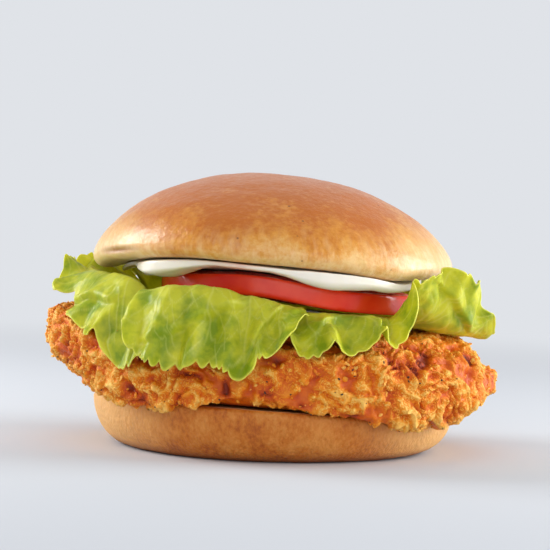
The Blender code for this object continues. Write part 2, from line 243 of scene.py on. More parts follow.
def store(mesh: bpy.types.Mesh, name: str, values: np.ndarray) -> None:
    """Keeps one number for each point of a mesh under a name."""
    kept = mesh.attributes.new(name, "FLOAT", "POINT")
    kept.data.foreach_set("value", np.asarray(values, np.float32).ravel())


def eased(low: float, high: float, values: np.ndarray) -> np.ndarray:
    """Eases every value of an array from 0 at low to 1 at high."""
    share = np.clip((values - low) / (high - low), 0, 1)
    return share * share * (3 - 2 * share)


def uneven(angle: float, size: float, seed: float) -> float:
    """Gives a closed, slowly varying change of a radius, about -size to +size."""
    return size * noise.noise(Vector((math.cos(angle), math.sin(angle), seed)) * 1.3) * 1.8


def turned_mesh(name: str, place: Callable[[float, float], Vector], segments: int, rings: int) -> bpy.types.Mesh:
    """Makes a closed form whose rings run from its top pole to its bottom pole.

    Args:
        name: the mesh's name.
        place: gives the point at s, from 0 at the top to 1 at the bottom, and an angle.
        segments: the number of points in a ring.
        rings: the number of steps from pole to pole.

    Returns:
        The mesh, smooth shaded.
    """
    points = [place(0.0, 0.0)]
    for ring in range(1, rings):
        points += [place(ring / rings, 2 * math.pi * step / segments) for step in range(segments)]
    points.append(place(1.0, 0.0))
    last = len(points) - 1
    faces = []
    for step in range(segments):
        after = (step + 1) % segments
        faces.append((0, 1 + step, 1 + after))
        faces.append((last, last - segments + after, last - segments + step))
        for ring in range(rings - 2):
            upper, lower = 1 + ring * segments, 1 + (ring + 1) * segments
            faces.append((upper + step, lower + step, lower + after, upper + after))
    mesh = bpy.data.meshes.new(name)
    mesh.from_pydata(points, [], faces)
    mesh.shade_smooth()
    return mesh


def turned_grid(segments: int, rings: int) -> tuple[np.ndarray, np.ndarray]:
    """Gives s and the angle in radians of each point of a turned mesh, in its order."""
    s = np.concatenate([[0.0], np.repeat(np.arange(1, rings) / rings, segments), [1.0]])
    ring = 2 * math.pi * np.arange(segments) / segments
    return s, np.concatenate([[0.0], np.tile(ring, rings - 1), [0.0]])


def bump_round(angles: np.ndarray, centre: float, half_width: float) -> np.ndarray:
    """Makes a smooth bump round one direction, in degrees, for every angle of an array."""
    away = (np.degrees(angles) - centre + 180) % 360 - 180
    return 1 - eased(0, half_width, np.abs(away))


def settle_in(piece: bpy.types.Object, slot: str, *nodes: str) -> None:
    """Makes a finished piece ride on the burger in place of its solids.

    Args:
        piece: the piece.
        slot: the record's material slot for it, which is not used.
        nodes: the solids that it stands for.
    """
    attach(piece, BODY)
    if nodes:
        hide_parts(*nodes)
    faces = sum(len(face.vertices) - 2 for face in piece.data.polygons)
    log.info("%s: %d triangles", piece.name, faces)


# ---- finishes ----


@dataclass(frozen=True)
class GlazedCrust:
    """Soft white-bread crust, brushed with egg and baked: a thin glossy skin, orange-brown above, golden below."""

    foot: str = "#E8BC74"
    side: str = "#DA9434"
    crown: str = "#BE6608"
    # pale is the colour of the glaze streaks and of the painted side light.
    pale: str = "#F2D29E"
    scorched: str = "#8F5220"
    speck: str = "#5E3416"
    crumb: str = "#EBD3A0"
    foot_level: float = 52.5 * MM
    crown_level: float = 76.0 * MM

    def make(self) -> bpy.types.Material:
        """Builds the material."""
        material, tree, shader = start_material("egg_glazed_crust")
        place = add_node(tree, "ShaderNodeTexCoord").outputs["Object"]
        split = add_node(tree, "ShaderNodeSeparateXYZ", {0: place})
        level = add_node(
            tree,
            "ShaderNodeMapRange",
            {"Value": split.outputs["Z"], "From Min": self.foot_level, "From Max": self.crown_level},
        )
        # The bake isn't even: clouds about 14 mm across and mottles of 2 mm shift the browning up and down.
        clouds = add_node(tree, "ShaderNodeTexNoise", {"Vector": place, "Scale": 1 / (14 * MM), "Detail": 2.0})
        mottles = add_node(
            tree, "ShaderNodeTexNoise", {"Vector": place, "Scale": 1 / (2.0 * MM), "Detail": 4.0, "Roughness": 0.65}
        )
        both = add_node(
            tree, "ShaderNodeMath", {0: mottles.outputs[0], 1: 0.9, 2: clouds.outputs[0]}, operation="MULTIPLY_ADD"
        )
        shift = add_node(
            tree,
            "ShaderNodeMapRange",
            {"Value": both.outputs[0], "From Min": 0.6, "From Max": 1.3, "To Min": -0.42, "To Max": 0.42},
        )
        browning = add_node(
            tree, "ShaderNodeMath", {0: level.outputs[0], 1: shift.outputs[0]}, operation="ADD"
        )
        tone = add_node(
            tree,
            "ShaderNodeValToRGB",
            {0: browning.outputs[0]},
            stops=((0.0, self.foot), (0.40, self.side), (0.90, self.crown)),
        )
        # Streaks about 2 mm wide run down the lowest part, where the glaze ran before it set.
        ring = add_node(tree, "ShaderNodeVectorMath", {0: place, 1: (1, 1, 0)}, operation="MULTIPLY")
        ring = add_node(tree, "ShaderNodeVectorMath", {0: ring.outputs[0]}, operation="NORMALIZE")
        ring = add_node(tree, "ShaderNodeVectorMath", {0: ring.outputs[0], 1: (0.055, 0.055, 0)}, operation="MULTIPLY")
        drop = add_node(tree, "ShaderNodeVectorMath", {0: place, 1: (0, 0, 0.4)}, operation="MULTIPLY")
        run = add_node(tree, "ShaderNodeVectorMath", {0: ring.outputs[0], 1: drop.outputs[0]}, operation="ADD")
        streaks = add_node(
            tree,
            "ShaderNodeTexNoise",
            {"Vector": run.outputs[0], "Scale": 1 / (2.2 * MM), "Detail": 4.0, "Roughness": 0.6},
        )
        streak = add_node(
            tree, "ShaderNodeMapRange", {"Value": streaks.outputs[0], "From Min": 0.42, "From Max": 0.75}
        )
        low_share = add_node(
            tree,
            "ShaderNodeMapRange",
            {"Value": level.outputs[0], "From Min": 0.15, "From Max": 0.75, "To Min": 0.75, "To Max": 0.0},
        )
        # Painted light: both sides, left and right, are paled where the side lamps would light them, most on the lower
        # part.
        side_light = add_node(tree, "ShaderNodeMath", {0: split.outputs["X"]}, operation="ABSOLUTE")
        side_light = add_node(
            tree,
            "ShaderNodeMapRange",
            {"Value": side_light.outputs[0], "From Min": 24 * MM, "From Max": 54 * MM, "To Max": 0.75},
            interpolation_type="SMOOTHSTEP",
        )
        side_light_low_share = add_node(
            tree,
            "ShaderNodeMapRange",
            {"Value": level.outputs[0], "From Min": 0.2, "From Max": 0.85, "To Min": 1.0, "To Max": 0.15},
        )
        side_light = add_node(
            tree, "ShaderNodeMath", {0: side_light.outputs[0], 1: side_light_low_share.outputs[0]}, operation="MULTIPLY"
        )
        streak = add_node(tree, "ShaderNodeMath", {0: streak.outputs[0], 1: low_share.outputs[0]}, operation="MULTIPLY")
        streaks_and_side_light = add_node(
            tree, "ShaderNodeMath", {0: streak.outputs[0], 1: side_light.outputs[0]}, operation="ADD", use_clamp=True
        )
        tone = add_node(
            tree,
            "ShaderNodeMix",
            {0: streaks_and_side_light.outputs[0], 6: tone.outputs[0], 7: linear(self.pale)},
            data_type="RGBA",
        )
        for attribute, colour in (("toast", self.scorched), ("crumb", self.crumb)):
            share = add_node(tree, "ShaderNodeAttribute", attribute_name=attribute)
            tone = add_node(
                tree,
                "ShaderNodeMix",
                {0: share.outputs["Fac"], 6: tone.outputs[2], 7: linear(colour)},
                data_type="RGBA",
            )
        # A few dark specks, half a millimetre across.
        grains = add_node(tree, "ShaderNodeTexVoronoi", {"Vector": place, "Scale": 1 / (7 * MM)})
        grain = add_node(
            tree,
            "ShaderNodeMapRange",
            {"Value": grains.outputs["Distance"], "From Min": 0.03, "From Max": 0.07, "To Min": 0.8, "To Max": 0.0},
        )
        tone = add_node(
            tree,
            "ShaderNodeMix",
            {0: grain.outputs[0], 6: tone.outputs[2], 7: linear(self.speck)},
            data_type="RGBA",
        )
        # The skin is finely wrinkled, from 2.5 mm down to a few tenths from fold to fold.
        skin = add_node(
            tree, "ShaderNodeTexNoise", {"Vector": place, "Scale": 1 / (2.5 * MM), "Detail": 5.0, "Roughness": 0.65}
        )
        bump = add_node(
            tree, "ShaderNodeBump", {"Height": skin.outputs[0], "Strength": 0.8, "Distance": 0.5 * MM}
        )
        gloss = add_node(
            tree, "ShaderNodeMapRange", {"Value": mottles.outputs[0], "To Min": 0.16, "To Max": 0.62}
        )
        tree.links.new(tone.outputs[2], shader.inputs["Base Color"])
        tree.links.new(gloss.outputs[0], shader.inputs["Roughness"])
        tree.links.new(bump.outputs[0], shader.inputs["Normal"])
        shader.inputs["Subsurface Weight"].default_value = 0.12
        shader.inputs["Subsurface Radius"].default_value = (1.0, 0.5, 0.2)
        shader.inputs["Subsurface Scale"].default_value = 1.5 * MM
        shader.inputs["Specular IOR Level"].default_value = 0.4
        shader.inputs["Coat Weight"].default_value = 0.25
        shader.inputs["Coat Roughness"].default_value = 0.2
        shader.inputs["Sheen Weight"].default_value = 0.03
        shader.inputs["Sheen Roughness"].default_value = 0.35
        shader.inputs["Sheen Tint"].default_value = linear("#FFD0C4")
        return material


@dataclass(frozen=True)
class DryCrust:
    """Bread crust baked against a tray: matt, finely pitted and streaked, darkest where it touched the metal."""

    side: str = "#C4701F"
    streak: str = "#D48A3C"
    pit: str = "#A85414"
    tray: str = "#964A14"
    # pale is the colour of the painted side light.
    pale: str = "#EEBE78"
    crumb: str = "#E9C68E"

    def make(self) -> bpy.types.Material:
        """Builds the material."""
        material, tree, shader = start_material("tray_baked_crust")
        place = add_node(tree, "ShaderNodeTexCoord").outputs["Object"]
        split = add_node(tree, "ShaderNodeSeparateXYZ", {0: place})
        # Fine streaks, about 1.3 mm apart, climb the side from the tray.
        upright = add_node(tree, "ShaderNodeVectorMath", {0: place, 1: (1, 1, 0.6)}, operation="MULTIPLY")
        streaks = add_node(
            tree,
            "ShaderNodeTexNoise",
            {"Vector": upright.outputs[0], "Scale": 1 / (1.3 * MM), "Detail": 5.0, "Roughness": 0.7},
        )
        clouds = add_node(tree, "ShaderNodeTexNoise", {"Vector": place, "Scale": 1 / (9 * MM), "Detail": 3.0})
        mix = add_node(tree, "ShaderNodeMath", {0: streaks.outputs[0], 1: clouds.outputs[0]}, operation="ADD")
        mix = add_node(tree, "ShaderNodeMapRange", {"Value": mix.outputs[0], "From Min": 0.74, "From Max": 1.24})
        tone = add_node(
            tree,
            "ShaderNodeValToRGB",
            {0: mix.outputs[0]},
            stops=((0.0, self.pit), (0.42, self.side), (1.0, self.streak)),
        )
        # Painted light: both sides, left and right, are paled where the side lamps would light them.
        side_light = add_node(tree, "ShaderNodeMath", {0: split.outputs["X"]}, operation="ABSOLUTE")
        side_light = add_node(
            tree,
            "ShaderNodeMapRange",
            {"Value": side_light.outputs[0], "From Min": 22 * MM, "From Max": 52 * MM, "To Max": 0.75},
            interpolation_type="SMOOTHSTEP",
        )
        tone = add_node(
            tree,
            "ShaderNodeMix",
            {0: side_light.outputs[0], 6: tone.outputs[0], 7: linear(self.pale)},
            data_type="RGBA",
        )
        edge = add_node(
            tree,
            "ShaderNodeMapRange",
            {"Value": split.outputs["Z"], "From Min": 0.4 * MM, "From Max": 3.2 * MM, "To Min": 1.0, "To Max": 0.0},
        )
        edge = add_node(tree, "ShaderNodeMath", {0: edge.outputs[0], 1: clouds.outputs[0]}, operation="MULTIPLY")
        edge = add_node(tree, "ShaderNodeMath", {0: edge.outputs[0], 1: 1.7}, operation="MULTIPLY", use_clamp=True)
        tone = add_node(
            tree,
            "ShaderNodeMix",
            {0: edge.outputs[0], 6: tone.outputs[2], 7: linear(self.tray)},
            data_type="RGBA",
        )
        crumb = add_node(tree, "ShaderNodeAttribute", attribute_name="crumb")
        tone = add_node(
            tree,
            "ShaderNodeMix",
            {0: crumb.outputs["Fac"], 6: tone.outputs[2], 7: linear(self.crumb)},
            data_type="RGBA",
        )
        pores = add_node(
            tree, "ShaderNodeTexVoronoi", {"Vector": upright.outputs[0], "Scale": 1 / (0.9 * MM)}, feature="F1"
        )
        relief = add_node(
            tree, "ShaderNodeMath", {0: streaks.outputs[0], 1: pores.outputs["Distance"]}, operation="ADD"
        )
        bump = add_node(
            tree, "ShaderNodeBump", {"Height": relief.outputs[0], "Strength": 0.9, "Distance": 0.3 * MM}
        )
        tree.links.new(tone.outputs[2], shader.inputs["Base Color"])
        tree.links.new(bump.outputs[0], shader.inputs["Normal"])
        shader.inputs["Roughness"].default_value = 0.55
        shader.inputs["Specular IOR Level"].default_value = 0.35
        shader.inputs["Subsurface Weight"].default_value = 0.15
        shader.inputs["Subsurface Radius"].default_value = (1.0, 0.5, 0.2)
        shader.inputs["Subsurface Scale"].default_value = 1.5 * MM
        return material


@dataclass(frozen=True)
class FriedCrust:
    """Seasoned flour crust, deep-fried: crisp golden ridges, and oily orange-red hollows that catch small lights."""

    pit: str = "#7E2405"
    hollow: str = "#C24A08"
    middle: str = "#DA6A0A"
    ridge: str = "#EC921C"
    # tip is the brightest colour: ridge tops reach it, and so do the painted highlights on the flake edges.
    tip: str = "#F8C260"

    def make(self) -> bpy.types.Material:
        """Builds the material."""
        material, tree, shader = start_material("fried_flour_crust")
        place = add_node(tree, "ShaderNodeTexCoord").outputs["Object"]
        split = add_node(tree, "ShaderNodeSeparateXYZ", {0: place})
        ridge = add_node(tree, "ShaderNodeAttribute", attribute_name="ridge")
        flaky = add_node(tree, "ShaderNodeAttribute", attribute_name="flaky")
        # Patches about 8 mm across are fried a little more or less than the rest.
        patches = add_node(tree, "ShaderNodeTexNoise", {"Vector": place, "Scale": 1 / (8 * MM), "Detail": 3.0})
        shift = add_node(
            tree, "ShaderNodeMapRange", {"Value": patches.outputs[0], "To Min": -0.62, "To Max": 0.38}
        )
        fried = add_node(
            tree, "ShaderNodeMath", {0: ridge.outputs["Fac"], 1: 1.15, 2: shift.outputs[0]}, operation="MULTIPLY_ADD"
        )
        fried = add_node(
            tree, "ShaderNodeMath", {0: flaky.outputs["Fac"], 1: 0.12, 2: fried.outputs[0]}, operation="MULTIPLY_ADD"
        )
        # Painted shade: towards its top, under the lettuce, the crust is shifted darker and redder; lower down it is
        # more golden.
        painted_leaf_shade = add_node(
            tree,
            "ShaderNodeMapRange",
            {"Value": split.outputs["Z"], "From Min": 11.7 * MM, "From Max": 35.7 * MM, "To Min": 0.1, "To Max": -0.08},
        )
        fried = add_node(tree, "ShaderNodeMath", {0: fried.outputs[0], 1: painted_leaf_shade.outputs[0]}, operation="ADD")
        # Thin overlapping flakes follow a noise like contour lines; each flake's crisp edge is paled as a painted
        # highlight.
        terrain = add_node(
            tree, "ShaderNodeTexNoise", {"Vector": place, "Scale": 1 / (4 * MM), "Detail": 3.0, "Roughness": 0.6}
        )
        steps = add_node(tree, "ShaderNodeMath", {0: terrain.outputs[0], 1: 8.0}, operation="MULTIPLY")
        flake = add_node(tree, "ShaderNodeMath", {0: steps.outputs[0]}, operation="FRACT")
        edge = add_node(
            tree,
            "ShaderNodeMapRange",
            {"Value": flake.outputs[0], "From Min": 0.65, "From Max": 0.95, "To Min": -0.06, "To Max": 0.34},
        )
        edge = add_node(tree, "ShaderNodeMath", {0: edge.outputs[0], 1: flaky.outputs["Fac"]}, operation="MULTIPLY")
        fried = add_node(tree, "ShaderNodeMath", {0: fried.outputs[0], 1: edge.outputs[0]}, operation="ADD")
        tone = add_node(
            tree,
            "ShaderNodeValToRGB",
            {0: fried.outputs[0]},
            stops=(
                (0.0, self.pit),
                (0.2, self.hollow),
                (0.45, self.middle),
                (0.72, self.ridge),
                (1.0, self.tip),
            ),
        )
        grain = add_node(
            tree, "ShaderNodeTexNoise", {"Vector": place, "Scale": 1 / (0.6 * MM), "Detail": 4.0, "Roughness": 0.65}
        )
        height = add_node(tree, "ShaderNodeMath", {0: flake.outputs[0], 1: flaky.outputs["Fac"]}, operation="MULTIPLY")
        height = add_node(
            tree, "ShaderNodeMath", {0: grain.outputs[0], 1: 0.8, 2: height.outputs[0]}, operation="MULTIPLY_ADD"
        )
        bump = add_node(
            tree, "ShaderNodeBump", {"Height": height.outputs[0], "Strength": 0.8, "Distance": 0.35 * MM}
        )
        gloss = add_node(
            tree, "ShaderNodeMapRange", {"Value": flaky.outputs["Fac"], "To Min": 0.3, "To Max": 0.55}
        )
        tree.links.new(tone.outputs[0], shader.inputs["Base Color"])
        tree.links.new(gloss.outputs[0], shader.inputs["Roughness"])
        tree.links.new(bump.outputs[0], shader.inputs["Normal"])
        shader.inputs["Specular IOR Level"].default_value = 0.28
        shader.inputs["Subsurface Weight"].default_value = 0.06
        shader.inputs["Subsurface Radius"].default_value = (1.0, 0.5, 0.12)
        shader.inputs["Subsurface Scale"].default_value = 2 * MM
        return material


@dataclass(frozen=True)
class CrispLettuce:
    """Crisp lettuce leaf, fresh and moist: a waxy yellow-green that light shines through, with pale veins and a painted
    highlight along the rims.
    """

    name: str
    blade: str = "#C2C428"
    deep: str = "#7C9414"
    vein: str = "#D8DA78"
    # rim is the colour of the painted rim highlight.
    rim: str = "#E0DE5C"

    def make(self) -> bpy.types.Material:
        """Builds the material."""
        material, tree, shader = start_material(self.name)
        place = add_node(tree, "ShaderNodeTexCoord").outputs["Object"]
        clouds = add_node(
            tree, "ShaderNodeTexNoise", {"Vector": place, "Scale": 1 / (8 * MM), "Detail": 4.0, "Roughness": 0.55}
        )
        cloud = add_node(tree, "ShaderNodeMapRange", {"Value": clouds.outputs[0], "From Min": 0.36, "From Max": 0.6})
        tone = add_node(
            tree,
            "ShaderNodeMix",
            {0: cloud.outputs[0], 6: linear(self.deep), 7: linear(self.blade)},
            data_type="RGBA",
        )
        pale = add_node(tree, "ShaderNodeAttribute", attribute_name="pale")
        tone = add_node(
            tree,
            "ShaderNodeMix",
            {0: pale.outputs["Fac"], 6: tone.outputs[2], 7: linear(self.vein)},
            data_type="RGBA",
        )
        # Painted highlight: a bright band along the free edge stands in for light shining through the rim.
        rim_highlight = add_node(tree, "ShaderNodeAttribute", attribute_name="rim_highlight")
        tone = add_node(
            tree,
            "ShaderNodeMix",
            {0: rim_highlight.outputs["Fac"], 6: tone.outputs[2], 7: linear(self.rim)},
            data_type="RGBA",
        )
        # Fine puckers between the smallest veins, about 1.5 mm across.
        pucker = add_node(
            tree, "ShaderNodeTexNoise", {"Vector": place, "Scale": 1 / (1.5 * MM), "Detail": 3.0, "Roughness": 0.5}
        )
        bump = add_node(
            tree, "ShaderNodeBump", {"Height": pucker.outputs[0], "Strength": 0.5, "Distance": 0.25 * MM}
        )
        tree.links.new(tone.outputs[2], shader.inputs["Base Color"])
        tree.links.new(bump.outputs[0], shader.inputs["Normal"])
        shader.inputs["Roughness"].default_value = 0.42
        shader.inputs["Specular IOR Level"].default_value = 0.28
        shader.inputs["Subsurface Weight"].default_value = 0.4
        shader.inputs["Subsurface Radius"].default_value = (1.0, 1.0, 0.15)
        shader.inputs["Subsurface Scale"].default_value = 2 * MM
        return material


@dataclass(frozen=True)
class CutTomato:
    """Ripe tomato, cut with a knife: a taut glossy skin round wet, slightly grainy flesh."""

    skin: str = "#E0260C"
    skin_light: str = "#EE4420"
    flesh: str = "#B4200E"
    flesh_pale: str = "#D44A30"
    # cut is the colour of the painted highlight on the skin's cut edge.
    cut: str = "#FAB09A"

    def make(self) -> bpy.types.Material:
        """Builds the material."""
        material, tree, shader = start_material("ripe_tomato")
        place = add_node(tree, "ShaderNodeTexCoord").outputs["Object"]
        clouds = add_node(tree, "ShaderNodeTexNoise", {"Vector": place, "Scale": 1 / (9 * MM), "Detail": 3.0})
        cloud = add_node(tree, "ShaderNodeMapRange", {"Value": clouds.outputs[0], "From Min": 0.3, "From Max": 0.7})
        skin = add_node(
            tree,
            "ShaderNodeMix",
            {0: cloud.outputs[0], 6: linear(self.skin), 7: linear(self.skin_light)},
            data_type="RGBA",
        )
        # The flesh has cells about 1 mm across, and is paler where it is drier.
        cells = add_node(tree, "ShaderNodeTexNoise", {"Vector": place, "Scale": 1 / (1.4 * MM), "Detail": 4.0})
        cell = add_node(tree, "ShaderNodeMapRange", {"Value": cells.outputs[0], "From Min": 0.35, "From Max": 0.7})
        flesh = add_node(
            tree,
            "ShaderNodeMix",
            {0: cell.outputs[0], 6: linear(self.flesh), 7: linear(self.flesh_pale)},
            data_type="RGBA",
        )
        side = add_node(tree, "ShaderNodeAttribute", attribute_name="skin")
        tone = add_node(
            tree,
            "ShaderNodeMix",
            {0: side.outputs["Fac"], 6: flesh.outputs[2], 7: skin.outputs[2]},
            data_type="RGBA",
        )
        # Painted highlight: a fine pale line along the skin's cut edge, where the wet edge catches the light.
        cut = add_node(tree, "ShaderNodeAttribute", attribute_name="cut")
        tone = add_node(
            tree,
            "ShaderNodeMix",
            {0: cut.outputs["Fac"], 6: tone.outputs[2], 7: linear(self.cut)},
            data_type="RGBA",
        )
        bump = add_node(
            tree, "ShaderNodeBump", {"Height": cells.outputs[0], "Strength": 0.25, "Distance": 0.2 * MM}
        )
        gloss = add_node(
            tree, "ShaderNodeMapRange", {"Value": side.outputs["Fac"], "To Min": 0.26, "To Max": 0.22}
        )
        tree.links.new(tone.outputs[2], shader.inputs["Base Color"])
        tree.links.new(gloss.outputs[0], shader.inputs["Roughness"])
        tree.links.new(bump.outputs[0], shader.inputs["Normal"])
        shader.inputs["Subsurface Weight"].default_value = 0.3
        shader.inputs["Subsurface Radius"].default_value = (1.0, 0.18, 0.08)
        shader.inputs["Subsurface Scale"].default_value = 2.5 * MM
        shader.inputs["Specular IOR Level"].default_value = 0.35
        shader.inputs["Coat Weight"].default_value = 0.1
        shader.inputs["Coat Roughness"].default_value = 0.08
        return material


@dataclass(frozen=True)
class WhippedMayonnaise:
    """Mayonnaise, spread with a knife: an opaque, creamy white gloss."""

    cream: str = "#F5EFE4"
    shade: str = "#EDE5D4"
    juice: str = "#E8A896"

    def make(self) -> bpy.types.Material:
        """Builds the material."""
        material, tree, shader = start_material("whipped_mayonnaise")
        place = add_node(tree, "ShaderNodeTexCoord").outputs["Object"]
        clouds = add_node(tree, "ShaderNodeTexNoise", {"Vector": place, "Scale": 1 / (6 * MM), "Detail": 2.0})
        tone = add_node(
            tree,
            "ShaderNodeMix",
            {0: clouds.outputs[0], 6: linear(self.shade), 7: linear(self.cream)},
            data_type="RGBA",
        )
        # Tomato juice colours the thinnest part.
        stain = add_node(tree, "ShaderNodeAttribute", attribute_name="stain")
        stain = add_node(
            tree, "ShaderNodeMath", {0: stain.outputs["Fac"], 1: clouds.outputs[0]}, operation="MULTIPLY"
        )
        tone = add_node(
            tree,
            "ShaderNodeMix",
            {0: stain.outputs[0], 6: tone.outputs[2], 7: linear(self.juice)},
            data_type="RGBA",
        )
        ripple = add_node(tree, "ShaderNodeTexNoise", {"Vector": place, "Scale": 1 / (2.5 * MM), "Detail": 2.0})
        bump = add_node(
            tree, "ShaderNodeBump", {"Height": ripple.outputs[0], "Strength": 0.2, "Distance": 0.2 * MM}
        )
        tree.links.new(tone.outputs[2], shader.inputs["Base Color"])
        tree.links.new(bump.outputs[0], shader.inputs["Normal"])
        shader.inputs["Roughness"].default_value = 0.24
        shader.inputs["Subsurface Weight"].default_value = 0.35
        shader.inputs["Subsurface Radius"].default_value = (1.0, 0.8, 0.5)
        shader.inputs["Subsurface Scale"].default_value = 2 * MM
        return material


@dataclass(frozen=True)
class CrackedPepper:
    """Black pepper, cracked and fried in the crust: dark brown, dry and rough."""

    dark: str = "#2A1209"
    light: str = "#5A2E16"

    def make(self) -> bpy.types.Material:
        """Builds the material."""
        material, tree, shader = start_material("cracked_pepper")
        place = add_node(tree, "ShaderNodeTexCoord").outputs["Object"]
        grain = add_node(tree, "ShaderNodeTexNoise", {"Vector": place, "Scale": 1 / (0.5 * MM), "Detail": 2.0})
        tone = add_node(
            tree,
            "ShaderNodeMix",
            {0: grain.outputs[0], 6: linear(self.dark), 7: linear(self.light)},
            data_type="RGBA",
        )
        tree.links.new(tone.outputs[2], shader.inputs["Base Color"])
        shader.inputs["Roughness"].default_value = 0.6
        return material


@dataclass(frozen=True)
class MattPaint:
    """Studio floor paint, rolled on: an even pale grey with no gloss, that fades into the bright backdrop."""

    sky: str
    sky_strength: float
    colour: str = "#CFD2D7"
    fade_start: float = 0.25
    fade_end: float = 0.60

    def make(self) -> bpy.types.Material:
        """Builds the material."""
        material, tree, shader = start_material("matt_floor_paint")
        shader.inputs["Base Color"].default_value = linear(self.colour)
        shader.inputs["Roughness"].default_value = 0.9
        shader.inputs["Specular IOR Level"].default_value = 0.0
        place = add_node(tree, "ShaderNodeTexCoord").outputs["Object"]
        away = add_node(tree, "ShaderNodeVectorMath", {0: place}, operation="LENGTH")
        share = add_node(
            tree,
            "ShaderNodeMapRange",
            {"Value": away.outputs["Value"], "From Min": self.fade_start, "From Max": self.fade_end},
            interpolation_type="SMOOTHSTEP",
        )
        glow = add_node(
            tree, "ShaderNodeEmission", {"Color": linear(self.sky), "Strength": self.sky_strength}
        )
        blend = add_node(
            tree, "ShaderNodeMixShader", {0: share.outputs[0], 1: shader.outputs[0], 2: glow.outputs[0]}
        )
        tree.links.new(blend.outputs[0], tree.nodes["Material Output"].inputs["Surface"])
        return material


# ---- bun ----


def bread_relief() -> bpy.types.NodeTree:
    """Builds the tree that gives bread its soft dimples and wrinkles.

    Returns:
        The tree, with the sizes and depths of both as inputs.
    """
    sizes = ("Dimple size", "Dimple depth", "Wrinkle size", "Wrinkle depth")
    tree, start, end = start_growth("bread_relief", sizes)
    place = add_node(tree, "GeometryNodeInputPosition").outputs[0]
    heights = []
    for kind, detail in (("Dimple", 1.0), ("Wrinkle", 3.0)):
        density = add_node(
            tree, "ShaderNodeMath", {0: 1.0, 1: start.outputs[f"{kind} size"]}, operation="DIVIDE"
        )
        pattern = add_node(
            tree, "ShaderNodeTexNoise", {"Vector": place, "Scale": density.outputs[0], "Detail": detail}
        )
        centred = add_node(tree, "ShaderNodeMath", {0: pattern.outputs[0], 1: 0.5}, operation="SUBTRACT")
        height = add_node(
            tree,
            "ShaderNodeMath",
            {0: centred.outputs[0], 1: start.outputs[f"{kind} depth"]},
            operation="MULTIPLY",
        )
        heights.append(height.outputs[0])
    total = add_node(tree, "ShaderNodeMath", {0: heights[0], 1: heights[1]}, operation="ADD")
    outward = add_node(
        tree,
        "ShaderNodeVectorMath",
        {0: add_node(tree, "GeometryNodeInputNormal").outputs[0], "Scale": total.outputs[0]},
        operation="SCALE",
    )
    moved = add_node(
        tree, "GeometryNodeSetPosition", {"Geometry": start.outputs["Geometry"], "Offset": outward.outputs[0]}
    )
    real = add_node(tree, "GeometryNodeRealizeInstances", {"Geometry": moved.outputs[0]})
    done = add_node(
        tree, "GeometryNodeSetMaterial", {"Geometry": real.outputs[0], "Material": start.outputs["Finish"]}
    )
    tree.links.new(done.outputs[0], end.inputs["Geometry"])
    return tree


